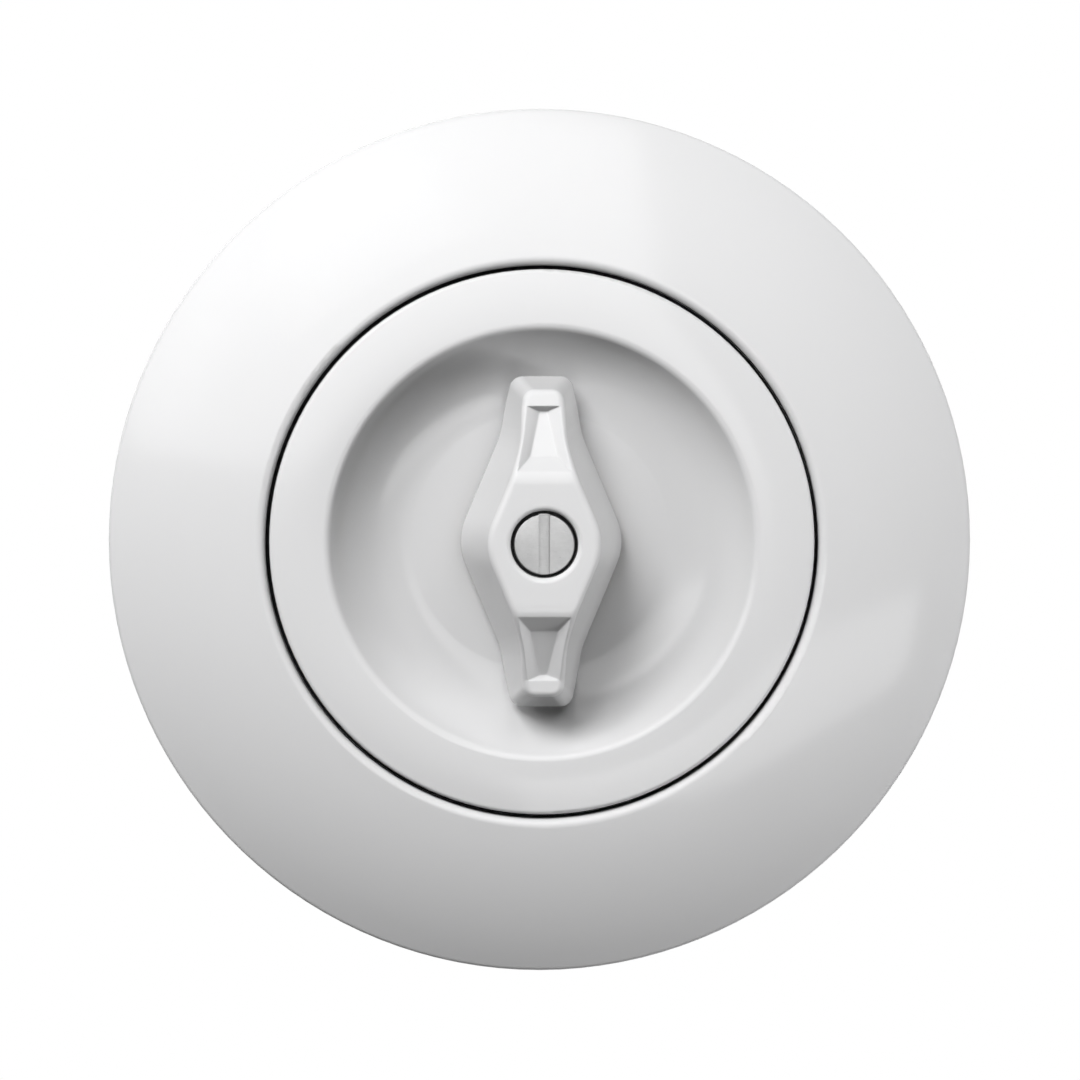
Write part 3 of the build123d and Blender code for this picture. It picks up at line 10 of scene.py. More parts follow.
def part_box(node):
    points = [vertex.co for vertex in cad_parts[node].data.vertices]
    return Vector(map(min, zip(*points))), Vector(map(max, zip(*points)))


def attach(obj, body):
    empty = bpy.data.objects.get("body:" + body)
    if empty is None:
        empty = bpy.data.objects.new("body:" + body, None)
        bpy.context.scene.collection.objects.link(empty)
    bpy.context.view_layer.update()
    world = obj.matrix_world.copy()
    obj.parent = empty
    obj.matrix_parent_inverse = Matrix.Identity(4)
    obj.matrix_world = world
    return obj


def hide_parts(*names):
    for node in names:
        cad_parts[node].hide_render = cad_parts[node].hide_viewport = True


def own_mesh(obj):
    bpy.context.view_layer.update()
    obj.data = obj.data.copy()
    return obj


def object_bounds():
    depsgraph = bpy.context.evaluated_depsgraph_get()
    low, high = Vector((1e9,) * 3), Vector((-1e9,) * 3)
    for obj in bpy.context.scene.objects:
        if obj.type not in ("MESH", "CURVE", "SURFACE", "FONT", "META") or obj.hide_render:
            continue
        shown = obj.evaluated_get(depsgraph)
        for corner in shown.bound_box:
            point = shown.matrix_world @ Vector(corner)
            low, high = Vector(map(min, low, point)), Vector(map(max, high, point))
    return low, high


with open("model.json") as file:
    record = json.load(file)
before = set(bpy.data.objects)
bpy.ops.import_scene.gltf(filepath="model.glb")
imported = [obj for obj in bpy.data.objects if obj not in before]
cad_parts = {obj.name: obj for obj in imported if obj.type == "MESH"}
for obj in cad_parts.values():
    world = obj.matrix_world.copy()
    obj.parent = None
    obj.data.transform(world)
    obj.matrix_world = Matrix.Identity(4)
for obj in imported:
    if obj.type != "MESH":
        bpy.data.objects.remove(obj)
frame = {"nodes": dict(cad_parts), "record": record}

bl_info = {
    "name": "Rotary Dimmer Dressing",
    "version": (1, 0, 0),
    "blender": (4, 5, 0),
    "location": "3D View > Sidebar > Dimmer",
    "description": "Dresses a round flush-mounted rotary dimmer: finishes, threads, spring and studio",
    "category": "Object",
}

CAD_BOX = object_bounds()
MM = 0.001

# The pieces are drawn lying down, with Z out of the wall, and stood up like the frame's own parts
UPRIGHT = Matrix.Rotation(pi / 2, 4, "X")

# How bright the cover is for the light it bounces on, and how far its edges look rounded
COVER_BOUNCE = 0.25
COVER_EDGE = 0.3 * MM

# Vertices closer than these distances are one, and flatter edges than this angle are smooth
WELD = 1e-7
NODE_WELD = 1e-6
SMOOTH_ANGLE = radians(35)

# Faces round a head, a neck and the spring's wire, and along one turn of the spring
HEAD_STEPS = 96
NECK_STEPS = 48
WIRE_STEPS = 12
COIL_STEPS = 40

# Screws: depths of the threads and slots, and the rounding of the heads' rims
KNOB_THREAD_DEPTH = 0.3 * MM
FIXING_THREAD_DEPTH = 0.28 * MM
REAR_THREAD_DEPTH = 0.25 * MM
CLAW_SLOT_DEPTH = 0.9 * MM
SMALL_SLOT_DEPTH = 0.8 * MM
KNOB_HEAD_EDGE = 0.16 * MM
CLAW_HEAD_EDGE = 0.7 * MM
REAR_HEAD_EDGE = 0.25 * MM
COUNTERSUNK_EDGE = 0.1 * MM
# Reach of a slot's cutter, and of a cross's shorter slot, as shares of the head's radius
SLOT_REACH = 1.2
CROSS_REACH = 0.62
# Plain neck of a claw screw and the top of its thread, as heights over the foot of its head
NECK_TOP = 0.2 * MM
NECK_FOOT = -2 * MM
CLAW_THREAD_TOP = -1.9 * MM
# How far the threads of the rear screws and plate screws run on into their heads
REAR_THREAD_LAP = 0.05 * MM
PLATE_THREAD_LAP = 0.02 * MM

# Panels that only show in the gloss, as (name, corner, one side, other side, level);
# right, up and towards the camera, in metres
PANELS = (
    ("upper_left_panel", (0.105, -0.013, 0.6), (-1.3, 0.25, 0), (0.3, 1.2, 0), 2.4),
    ("lower_right_panel", (0.0, -0.14, 0.6), (0, -0.9, 0), (0.9, 0, 0), 2.6),
)
# Softboxes that only light, as (name, direction round the axis, angle off the axis, width, level);
# directions run anticlockwise from the right, in degrees
LAMPS = (
    ("key_lamp", 120, 45, 0.35, 10.4),
    ("left_lamp", 150, 62, 0.35, 4.6),
    ("upper_lamp", 90, 45, 0.35, 1.1),
    ("upper_right_lamp", 60, 45, 0.35, 2.3),
    ("right_lamp", 345, 78, 0.35, 4.9),
    ("low_right_lamp", 330, 62, 0.35, 3.1),
    ("rear_left_lamp", 130, 140, 0.45, 5.0),
    ("rear_right_lamp", 40, 145, 0.45, 4.0),
)
LAMP_DISTANCE = 0.8
# How much light the white surroundings throw on the object
AMBIENT_LEVEL = 0.02
# Width of the camera's sensor in millimetres, and the distances between which it sees
CAMERA_SENSOR = 36
CAMERA_CLIP = (0.1, 100)
# The camera looks at a point this far out of the wall plane
TARGET_HEIGHT = 2.2 * MM
# The floor: its side, its two tones, and how white the camera and the gloss see it
FLOOR_SIDE = 2.4
FLOOR_TONES = ((0.78, 0.78, 0.78), (0.82, 0.82, 0.82))
FLOOR_GLOW = 0.94


def height_span(node):
    """Lowest and highest distance of a node from the wall plane, out of the wall being positive."""
    low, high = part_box(node)
    return -high.y, -low.y


# Settings


def length_setting(label, description, default):
    """Property of a length in metres."""
    return FloatProperty(
        name=label, description=description, subtype="DISTANCE", unit="LENGTH", default=default
    )


def angle_setting(label, description, default):
    """Property of an angle of the camera in radians."""
    return FloatProperty(
        name=label, description=description, subtype="ANGLE", unit="ROTATION", default=default
    )


class CoverSettings(bpy.types.PropertyGroup):
    """Finish of the white front mouldings."""

    colour: FloatVectorProperty(
        name="Cover colour",
        description="Colour of the ring, the centre plate and the knob",
        subtype="COLOR",
        size=3,
        min=0,
        max=1,
        default=(0.87, 0.87, 0.875),
    )
    roughness: FloatProperty(
        name="Gloss roughness",
        description="Roughness of the polished white mouldings",
        subtype="FACTOR",
        min=0,
        max=1,
        default=0.13,
    )


class ScrewSettings(bpy.types.PropertyGroup):
    """Sizes of the slotted and threaded pieces."""

    slot_width: length_setting(
        "Knob screw slot", "Width of the slot in the knob screw", 1.3 * MM
    )
    slot_depth: length_setting(
        "Knob screw slot depth", "Depth of the slot in the knob screw", 1.0 * MM
    )
    small_slot_width: length_setting(
        "Small slot", "Width of the slots in the fixing and terminal screws", 0.8 * MM
    )
    knob_shank: length_setting(
        "Knob screw thread", "Outer radius of the knob screw's thread", 1.7 * MM
    )
    shank: length_setting(
        "Thread", "Outer radius of the claw, plate and terminal screws' threads", 1.5 * MM
    )
    case_shank: length_setting(
        "Case screw thread", "Outer radius of the case screws' threads", 1.25 * MM
    )
    case_pitch: length_setting(
        "Case screw pitch", "Pitch of the case screws' coarse threads", 0.9 * MM
    )
    terminal_head: length_setting(
        "Terminal screw head", "Height of the terminal screws' heads", 1.8 * MM
    )
    case_head: length_setting("Case screw head", "Height of the case screws' heads", 1.6 * MM)
    pitch: length_setting("Thread pitch", "Pitch of the fixing screws' threads", 0.5 * MM)
    thread_steps: IntProperty(
        name="Thread steps",
        description="Faces round one turn of a thread",
        min=8,
        max=96,
        default=24,
    )


class SpringSettings(bpy.types.PropertyGroup):
    """Wire and turns of the return spring."""

    wire_radius: length_setting("Wire radius", "Radius of the spring's wire", 0.2 * MM)
    turns: FloatProperty(
        name="Turns",
        description="Number of turns of the coil",
        min=1,
        max=20,
        default=3.5,
    )


class StudioSettings(bpy.types.PropertyGroup):
    """Camera, floor and light."""

    distance: length_setting(
        "Camera distance", "Distance of the camera from the front of the ring", 1.5
    )
    frame_width: length_setting(
        "Framed width", "Width that the picture shows at the object", 125.3 * MM
    )
    look_down: angle_setting(
        "Camera height angle", "How far above straight on the camera stands", radians(1.9)
    )
    look_across: angle_setting(
        "Camera side angle", "How far to the left of straight on the camera stands", radians(1.9)
    )
    floor_drop: length_setting("Floor drop", "How far the floor lies below the object", 0.30)
    lamp_level: FloatProperty(
        name="Lamp level",
        description="Factor on the light of all softboxes",
        min=0,
        max=4,
        default=1.0,
    )


# Materials


def start_material(name):
    """A new node material with its tree and its shader."""
    material = bpy.data.materials.new(name)
    material.use_nodes = True
    return material, material.node_tree, material.node_tree.nodes["Principled BSDF"]


def place_on_object(tree, scale=(1, 1, 1), turn=(0, 0, 0), shift=(0, 0, 0)):
    """Object coordinates, turned, moved and stretched for a pattern."""
    coordinates = tree.nodes.new("ShaderNodeTexCoord")
    mapping = tree.nodes.new("ShaderNodeMapping")
    mapping.inputs["Location"].default_value = shift
    mapping.inputs["Rotation"].default_value = turn
    mapping.inputs["Scale"].default_value = scale
    tree.links.new(coordinates.outputs["Object"], mapping.inputs["Vector"])
    return mapping.outputs["Vector"]


def noise(tree, vector, per_metre, detail=3.0, roughness=0.5):
    """Noise with about so many features in a metre."""
    texture = tree.nodes.new("ShaderNodeTexNoise")
    texture.inputs["Scale"].default_value = per_metre
    texture.inputs["Detail"].default_value = detail
    texture.inputs["Roughness"].default_value = roughness
    tree.links.new(vector, texture.inputs["Vector"])
    return texture.outputs["Fac"]


def between(tree, value, low, high, start=0.3, end=0.7):
    """The value, which runs mostly from start to end, spread from low to high."""
    ramp = tree.nodes.new("ShaderNodeMapRange")
    ramp.inputs["From Min"].default_value = start
    ramp.inputs["From Max"].default_value = end
    ramp.inputs["To Min"].default_value = low
    ramp.inputs["To Max"].default_value = high
    tree.links.new(value, ramp.inputs["Value"])
    return ramp.outputs["Result"]


def mixed_colour(tree, factor, first, second):
    """Colour that runs from the first to the second with the factor."""
    mix = tree.nodes.new("ShaderNodeMix")
    mix.data_type = "RGBA"
    mix.inputs["A"].default_value = (*first, 1)
    mix.inputs["B"].default_value = (*second, 1)
    tree.links.new(factor, mix.inputs["Factor"])
    return mix.outputs["Result"]


def dim_in_bounces(tree, tone, dim):
    """The tone where it is seen, and a dimmer one where it only lights its surroundings."""
    path = tree.nodes.new("ShaderNodeLightPath")
    mix = tree.nodes.new("ShaderNodeMix")
    mix.data_type = "RGBA"
    mix.inputs["B"].default_value = (*dim, 1)
    tree.links.new(tone, mix.inputs["A"])
    tree.links.new(path.outputs["Is Diffuse Ray"], mix.inputs["Factor"])
    return mix.outputs["Result"]


def soft_edges(tree, radius, samples=6):
    """Normal that rounds each sharp edge off within a radius."""
    soft = tree.nodes.new("ShaderNodeBevel")
    soft.samples = samples
    soft.inputs["Radius"].default_value = radius
    return soft.outputs["Normal"]


def raised(tree, shader, height, depth, below=None):
    """Bump of the given depth in metres on the shader, over an earlier bump if there is one."""
    bump = tree.nodes.new("ShaderNodeBump")
    bump.inputs["Strength"].default_value = 1.0
    bump.inputs["Distance"].default_value = depth
    tree.links.new(height, bump.inputs["Height"])
    if below is not None:
        tree.links.new(below, bump.inputs["Normal"])
    tree.links.new(bump.outputs["Normal"], shader.inputs["Normal"])
    return bump.outputs["Normal"]


def shaded(colour, factor):
    """The colour made darker or lighter by a factor, kept at 1 or less."""
    return tuple(min(1.0, channel * factor) for channel in colour)


def tint(tree, shader, pattern, colour, first, second):
    """Base colour that runs from one shade of the given one to another with the pattern."""
    tone = mixed_colour(tree, pattern, shaded(colour, first), shaded(colour, second))
    tree.links.new(tone, shader.inputs["Base Color"])


def uneven_gloss(tree, shader, pattern, least, most, **span):
    """Roughness that runs from the least to the most with the pattern, or with a span of it."""
    tree.links.new(between(tree, pattern, least, most, **span), shader.inputs["Roughness"])


def moulded(name, colour, roughness, grain, relief, mottle):
    """Moulded plastic: faint mottling, uneven gloss and a fine grain, its relief in millimetres."""
    material, tree, shader = start_material(name)
    place = place_on_object(tree)
    cloud = noise(tree, place, per_metre=60, detail=2)
    tint(tree, shader, cloud, colour, 1 - mottle, 1 + mottle)
    fine = noise(tree, place, grain, detail=4, roughness=0.6)
    uneven_gloss(tree, shader, fine, roughness * 0.8, roughness * 1.25)
    shader.inputs["IOR"].default_value = 1.5
    raised(tree, shader, fine, relief * MM)
    return material


def polished_cover(name, colour, roughness):
    """Polished white moulding: clean colour, a slow waviness and the faintest grain."""
    material, tree, shader = start_material(name)
    place = place_on_object(tree)
    cloud = noise(tree, place, per_metre=35, detail=2)
    tone = mixed_colour(tree, cloud, shaded(colour, 0.994), shaded(colour, 1.006))
    bounced = dim_in_bounces(tree, tone, shaded(colour, COVER_BOUNCE))
    tree.links.new(bounced, shader.inputs["Base Color"])
    haze = noise(tree, place, per_metre=260, detail=5, roughness=0.65)
    uneven_gloss(tree, shader, haze, roughness * 0.85, roughness * 1.2)
    shader.inputs["IOR"].default_value = 1.49
    shader.inputs["Specular IOR Level"].default_value = 0.38
    slow = noise(tree, place, per_metre=90, detail=1)
    waves = raised(tree, shader, slow, 0.004 * MM, soft_edges(tree, COVER_EDGE))
    grain = noise(tree, place, per_metre=1500, detail=2)
    raised(tree, shader, grain, 0.0004 * MM, waves)
    return material


def plated(name, colour, roughness, stretch=(1, 1, 1), relief=0.004, patches=0.06):
    """Plated or bare metal: patchy tone, fine rolling marks along one direction and small pits."""
    material, tree, shader = start_material(name)
    place = place_on_object(tree)
    patch = noise(tree, place, per_metre=140)
    tint(tree, shader, patch, colour, 1 - patches, 1 + patches)
    shader.inputs["Metallic"].default_value = 1.0
    marks = noise(tree, place_on_object(tree, stretch), per_metre=2600, detail=4, roughness=0.6)
    uneven_gloss(tree, shader, marks, roughness * 0.7, roughness * 1.4)
    pits = raised(tree, shader, noise(tree, place, per_metre=700), relief * MM)
    raised(tree, shader, marks, relief * MM, pits)
    return material


def turned_metal(name, colour, roughness):
    """Metal turned on a lathe about the object's axis: concentric tool marks."""
    material, tree, shader = start_material(name)
    wave = tree.nodes.new("ShaderNodeTexWave")
    wave.wave_type = "RINGS"
    wave.rings_direction = "Y"
    wave.inputs["Scale"].default_value = 260
    wave.inputs["Distortion"].default_value = 1.2
    wave.inputs["Detail"].default_value = 2.0
    wave.inputs["Detail Scale"].default_value = 2.0
    place = place_on_object(tree)
    tree.links.new(place, wave.inputs["Vector"])
    tint(tree, shader, noise(tree, place, per_metre=220), colour, 0.93, 1)
    shader.inputs["Metallic"].default_value = 1.0
    marks = wave.outputs["Fac"]
    uneven_gloss(tree, shader, marks, roughness * 0.8, roughness * 1.3, start=0, end=1)
    raised(tree, shader, marks, 0.002 * MM)
    return material


def scratched_face(name, colour, roughness):
    """Nickel-plated screw head: brushed, with single deeper scratches and dull spots."""
    material, tree, shader = start_material(name)
    spots = noise(tree, place_on_object(tree), per_metre=900, detail=4, roughness=0.65)
    tint(tree, shader, spots, colour, 0.86, 1.08)
    shader.inputs["Metallic"].default_value = 1.0
    along = place_on_object(tree, scale=(0.12, 1, 1.6))
    brushed = noise(tree, along, per_metre=5200, detail=4, roughness=0.7)
    uneven_gloss(tree, shader, brushed, roughness * 0.7, roughness * 1.4)
    fine = raised(tree, shader, brushed, 0.006 * MM)
    askew = place_on_object(tree, scale=(0.25, 1, 1), turn=(0, 0.35, 0))
    single = noise(tree, askew, per_metre=2300, detail=5, roughness=0.8)
    scratches = between(tree, single, 0, 1, start=0.60, end=0.68)
    raised(tree, shader, scratches, 0.012 * MM, fine)
    return material


def lacquered_board(name, colour):
    """Printed board: lacquer over slightly raised tracks and pads."""
    material, tree, shader = start_material(name)
    bricks = tree.nodes.new("ShaderNodeTexBrick")
    bricks.inputs["Scale"].default_value = 160
    bricks.inputs["Mortar Size"].default_value = 0.03
    across_board = place_on_object(tree, turn=(pi / 2, 0, 0))
    tree.links.new(across_board, bricks.inputs["Vector"])
    tracks = bricks.outputs["Fac"]
    tint(tree, shader, tracks, colour, 1, 0.6)
    uneven_gloss(tree, shader, noise(tree, place_on_object(tree), per_metre=500), 0.25, 0.4)
    raised(tree, shader, tracks, 0.03 * MM)
    return material


def wire_enamel(name, colour):
    """Enamelled copper wire: dark lacquer over bright metal."""
    material, tree, shader = start_material(name)
    place = place_on_object(tree)
    tone = noise(tree, place, per_metre=420)
    tint(tree, shader, tone, colour, 0.75, 1.15)
    shader.inputs["Metallic"].default_value = 0.85
    uneven_gloss(tree, shader, tone, 0.22, 0.34)
    shader.inputs["Coat Weight"].default_value = 0.6
    shader.inputs["Coat Roughness"].default_value = 0.1
    raised(tree, shader, noise(tree, place, per_metre=2400), 0.004 * MM)
    return material


# Maker and values of each finish but the cover's, whose values are settings;
# a colour given here takes the place of the record's
FINISHES = {
    "dark_rubber": (moulded, dict(roughness=0.75, grain=1600, relief=0.02, mottle=0.1)),
    "nickel_screw": (scratched_face, dict(colour=(0.31, 0.31, 0.31), roughness=0.36)),
    "zinc_steel": (plated, dict(roughness=0.32, stretch=(1, 1, 0.05))),
    "screw_steel": (plated, dict(roughness=0.3)),
    "dark_washer": (moulded, dict(roughness=0.6, grain=1800, relief=0.01, mottle=0.1)),
    "shaft_metal": (turned_metal, dict(roughness=0.28)),
    "brass": (plated, dict(roughness=0.26, stretch=(1, 0.08, 1))),
    "can_steel": (plated, dict(roughness=0.22, stretch=(1, 0.2, 1), relief=0.003)),
    "housing": (moulded, dict(roughness=0.5, grain=1300, relief=0.03, mottle=0.06)),
    "brown_board": (moulded, dict(roughness=0.55, grain=900, relief=0.02, mottle=0.15)),
    "green_board": (lacquered_board, {}),
    "carbon_track": (moulded, dict(roughness=0.45, grain=2400, relief=0.01, mottle=0.2)),
    "rotor_plastic": (moulded, dict(roughness=0.42, grain=900, relief=0.01, mottle=0.03)),
    "ferrite": (moulded, dict(roughness=0.7, grain=2200, relief=0.03, mottle=0.15)),
    "copper_wire": (wire_enamel, {}),
    "yellow_film": (moulded, dict(roughness=0.35, grain=1200, relief=0.01, mottle=0.04)),
    "black_mould": (moulded, dict(roughness=0.55, grain=2000, relief=0.02, mottle=0.12)),
    "fin_aluminium": (plated, dict(roughness=0.34, stretch=(1, 1, 0.04), patches=0.03)),
    "fuse_glass": (moulded, dict(roughness=0.12, grain=700, relief=0.002, mottle=0.05)),
    "resistor_body": (moulded, dict(roughness=0.3, grain=900, relief=0.01, mottle=0.05)),
    "spring_steel": (plated, dict(roughness=0.2, relief=0.003)),
}


def record_colour(slot):
    """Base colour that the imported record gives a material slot."""
    found = next(entry for entry in frame["record"]["materials"] if entry["slot"] == slot)
    return tuple(found["base_color"][:3])


def make_finish(slot, name):
    """The material of one of the record's slots."""
    if slot == "white_cover":
        cover = bpy.context.scene.dimmer_cover
        return polished_cover(name, tuple(cover.colour), cover.roughness)
    maker, values = FINISHES[slot]
    return maker(name, **{"colour": record_colour(slot), **values})


def finish_of(slot):
    """The material of a slot, made when it is first asked for."""
    name = f"{slot}_finish"
    return bpy.data.materials.get(name) or make_finish(slot, name)


def slot_of(node):
    """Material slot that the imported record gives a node."""
    found = next(part for part in frame["record"]["subparts"] if part["node"] == node)
    return found["material_slot"]


def give_finish(piece, material):
    """The piece shows this one material."""
    piece.data.materials.clear()
    piece.data.materials.append(material)


# Modelling


def as_piece(name, bm, body, slot):
    """Stands a drawn mesh up and makes it a finished piece that rides on a body."""
    mesh = bpy.data.meshes.new(name)
    bm.transform(UPRIGHT)
    bm.to_mesh(mesh)
    bm.free()
    piece = bpy.data.objects.new(name, mesh)
    bpy.context.scene.collection.objects.link(piece)
    mesh.shade_smooth()
    mesh.set_sharp_from_angle(angle=SMOOTH_ANGLE)
    give_finish(piece, finish_of(slot))
    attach(piece, body)
    return piece


def clean(bm):
    """Merges doubles and turns all faces outwards."""
    bmesh.ops.remove_doubles(bm, verts=bm.verts, dist=WELD)
    bmesh.ops.recalc_face_normals(bm, faces=bm.faces)


def outline(bm, points):
    """Open chain of edges through points given as radius and height."""
    verts = [bm.verts.new((radius, 0, height)) for radius, height in points]
    return verts + [bm.edges.new(pair) for pair in zip(verts, verts[1:])]


def turned(points, steps=HEAD_STEPS):
    """Solid of revolution about an upright axis, from an outline of radii and heights."""
    bm = bmesh.new()
    bmesh.ops.spin(
        bm,
        geom=outline(bm, points),
        cent=(0, 0, 0),
        axis=(0, 0, 1),
        angle=2 * pi,
        steps=steps,
        use_merge=True,
        use_duplicate=False,
    )
    clean(bm)
    return bm


def cut_off(bm, height, keep_above):
    """Cuts a mesh at a height, closes the cut and keeps one side."""
    geometry = bm.verts[:] + bm.edges[:] + bm.faces[:]
    cut = bmesh.ops.bisect_plane(
        bm,
        geom=geometry,
        plane_co=(0, 0, height),
        plane_no=(0, 0, 1),
        clear_inner=keep_above,
        clear_outer=not keep_above,
    )
    rim = [item for item in cut["geom_cut"] if isinstance(item, bmesh.types.BMEdge)]
    bmesh.ops.holes_fill(bm, edges=rim, sides=0)


def thread(radius, depth, pitch, low, high, steps):
    """Threaded rod between two heights, from one tooth spun along a helix."""
    bm = bmesh.new()
    core = radius - depth
    start = low - pitch
    turns = int((high - low) / pitch) + 3
    rise, crest, fall = start + pitch / 8, start + pitch / 2, start + pitch * 5 / 8
    tooth = [(core, start), (core, rise), (radius, crest), (radius, fall), (core, start + pitch)]
    bmesh.ops.spin(
        bm,
        geom=outline(bm, tooth),
        cent=(0, 0, 0),
        axis=(0, 0, 1),
        dvec=(0, 0, pitch / steps),
        angle=2 * pi * turns,
        steps=steps * turns,
        use_duplicate=False,
    )
    bmesh.ops.remove_doubles(bm, verts=bm.verts, dist=pitch / steps / 8)
    cut_off(bm, low, keep_above=True)
    cut_off(bm, high, keep_above=False)
    clean(bm)
    return bm


def joined(*meshes):
    """One mesh that holds all the given ones."""
    whole = bmesh.new()
    for bm in meshes:
        part = bpy.data.meshes.new("part")
        bm.to_mesh(part)
        bm.free()
        whole.from_mesh(part)
        bpy.data.meshes.remove(part)
    return whole


def box_between(low, high):
    """Mesh of a box between two corners."""
    bm = bmesh.new()
    bmesh.ops.create_cube(bm, size=1)
    low, high = Vector(low), Vector(high)
    bmesh.ops.scale(bm, vec=high - low, verts=bm.verts)
    bmesh.ops.translate(bm, vec=(low + high) / 2, verts=bm.verts)
    return bm


def carved(bm, cutter):
    """The mesh less the cutter."""
    objects = []
    for name, source in (("stock", bm), ("cutter", cutter)):
        mesh = bpy.data.meshes.new(name)
        source.to_mesh(mesh)
        source.free()
        objects.append(bpy.data.objects.new(name, mesh))
        bpy.context.scene.collection.objects.link(objects[-1])
    stock, tool = objects
    cut = stock.modifiers.new("cut", "BOOLEAN")
    cut.operation = "DIFFERENCE"
    cut.solver = "EXACT"
    cut.object = tool
    evaluated = stock.evaluated_get(bpy.context.evaluated_depsgraph_get())
    result = bmesh.new()
    result.from_mesh(evaluated.to_mesh())
    evaluated.to_mesh_clear()
    for item in objects:
        mesh = item.data
        bpy.data.objects.remove(item)
        bpy.data.meshes.remove(mesh)
    return result


def moved(bm, place, turned_over=False):
    """The mesh turned over if asked, then moved to its place."""
    if turned_over:
        bmesh.ops.rotate(bm, cent=(0, 0, 0), matrix=Matrix.Rotation(pi, 3, "X"), verts=bm.verts)
    bmesh.ops.translate(bm, vec=place, verts=bm.verts)
    return bm


def rounded_rim(radius, top, edge, steps=5):
    """Points of a quarter round from the top to the side of a turned head."""
    angles = [pi / 2 * index / (steps - 1) for index in range(steps)]
    return [(radius - edge + edge * sin(angle), top - edge + edge * cos(angle)) for angle in angles]


def screw_head(radius, height, edge, slot_width, slot_depth, cross=False):
    """Head on height 0 with a rounded rim and a slot, and a shorter slot across it if asked."""
    head = turned([(0, height), *rounded_rim(radius, height, edge), (radius, 0), (0, 0)])
    half, floor, above = slot_width / 2, height - slot_depth, height + edge
    reach = radius * SLOT_REACH
    head = carved(head, box_between((-half, -reach, floor), (half, reach, above)))
    if cross:
        arm = radius * CROSS_REACH
        head = carved(head, box_between((-arm, -half, floor), (arm, half, above)))
    return head


def countersunk_head(radius, shank, slot_width):
    """Flat head whose top is at height 0, with a cone below it and a slot."""
    edge = COUNTERSUNK_EDGE
    cone = shank - radius - edge
    head = turned([(0, 0), (radius - edge, 0), (radius, -edge), (shank, cone), (0, cone)])
    half, reach = slot_width / 2, radius * SLOT_REACH
    slot = box_between((-half, -reach, -SMALL_SLOT_DEPTH), (half, reach, edge))
    return carved(head, slot)


def solids_of(node):
    """Lowest and highest corners of a node's separate solids, drawn lying down, from left to right."""
    bm = bmesh.new()
    bm.from_mesh(frame["nodes"][node].data)
    bm.transform(UPRIGHT.inverted() @ frame["nodes"][node].matrix_world)
    bmesh.ops.remove_doubles(bm, verts=bm.verts, dist=NODE_WELD)
    waiting = set(bm.verts)
    corners = []
    while waiting:
        group = [waiting.pop()]
        for vert in group:
            near = {edge.other_vert(vert) for edge in vert.link_edges} & waiting
            waiting -= near
            group.extend(near)
        axes = list(zip(*(vert.co for vert in group)))
        corners.append((Vector(map(min, axes)), Vector(map(max, axes))))
    bm.free()
    return sorted(corners, key=lambda pair: tuple(pair[0]))


# Studio


def in_frame(vector):
    """Right, up and towards the camera, as a vector of the frame."""
    right, up, near = vector
    return Vector((right, -near, up))


def make_softbox(name, corner, across, up, level):
    """Rectangular softbox of even brightness, hidden from the camera itself."""
    corner, across, up = in_frame(corner), in_frame(across), in_frame(up)
    up = up - up.project(across)
    lamp = bpy.data.lights.new(name, "AREA")
    lamp.shape = "RECTANGLE"
    lamp.size = across.length
    lamp.size_y = up.length
    lamp.energy = level * pi * across.length * up.length
    item = bpy.data.objects.new(name, lamp)
    bpy.context.scene.collection.objects.link(item)
    x_axis, y_axis = across.normalized(), up.normalized()
    z_axis = x_axis.cross(y_axis)
    centre = corner + (across + up) / 2
    if z_axis.dot(centre) < 0:
        x_axis, z_axis = -x_axis, -z_axis
    turn = Matrix((x_axis, y_axis, z_axis)).transposed().to_4x4()
    item.matrix_world = Matrix.Translation(centre) @ turn
    item.visible_camera = False
    return item


def make_lamp(name, direction, off_axis, width, level):
    """Square softbox that faces the object from a direction, left out of the gloss."""
    round_axis, tilt = radians(direction), radians(off_axis)
    outward = Vector((sin(tilt) * cos(round_axis), sin(tilt) * sin(round_axis), cos(tilt)))
    across = Vector((-sin(round_axis), cos(round_axis), 0)) * width
    up = outward.cross(across.normalized()) * width
    corner = outward * LAMP_DISTANCE - (across + up) / 2
    make_softbox(name, corner, across, up, level).visible_glossy = False


def make_camera(studio):
    """Long lens from a little above and to the left, as in the photograph."""
    data = bpy.data.cameras.new("camera")
    data.sensor_width = CAMERA_SENSOR
    data.lens = data.sensor_width * studio.distance / studio.frame_width
    camera = bpy.data.objects.new("camera", data)
    bpy.context.scene.collection.objects.link(camera)
    target = Vector((0, -TARGET_HEIGHT, 0))
    sideways, upwards = studio.look_across, studio.look_down
    back = Vector((-sin(sideways), -cos(sideways), tan(upwards))).normalized()
    camera.location = target + back * studio.distance
    camera.rotation_mode = "QUATERNION"
    camera.rotation_quaternion = (-back).to_track_quat("-Z", "Y")
    data.clip_start, data.clip_end = CAMERA_CLIP
    bpy.context.scene.camera = camera


def seen_white(tree):
    """Factor that is 1 for what the camera, gloss and glass see, and 0 for plain light."""
    path = tree.nodes.new("ShaderNodeLightPath")
    factor = path.outputs["Is Camera Ray"]
    for output in ("Is Glossy Ray", "Is Transmission Ray"):
        highest = tree.nodes.new("ShaderNodeMath")
        highest.operation = "MAXIMUM"
        tree.links.new(factor, highest.inputs[0])
        tree.links.new(path.outputs[output], highest.inputs[1])
        factor = highest.outputs["Value"]
    return factor


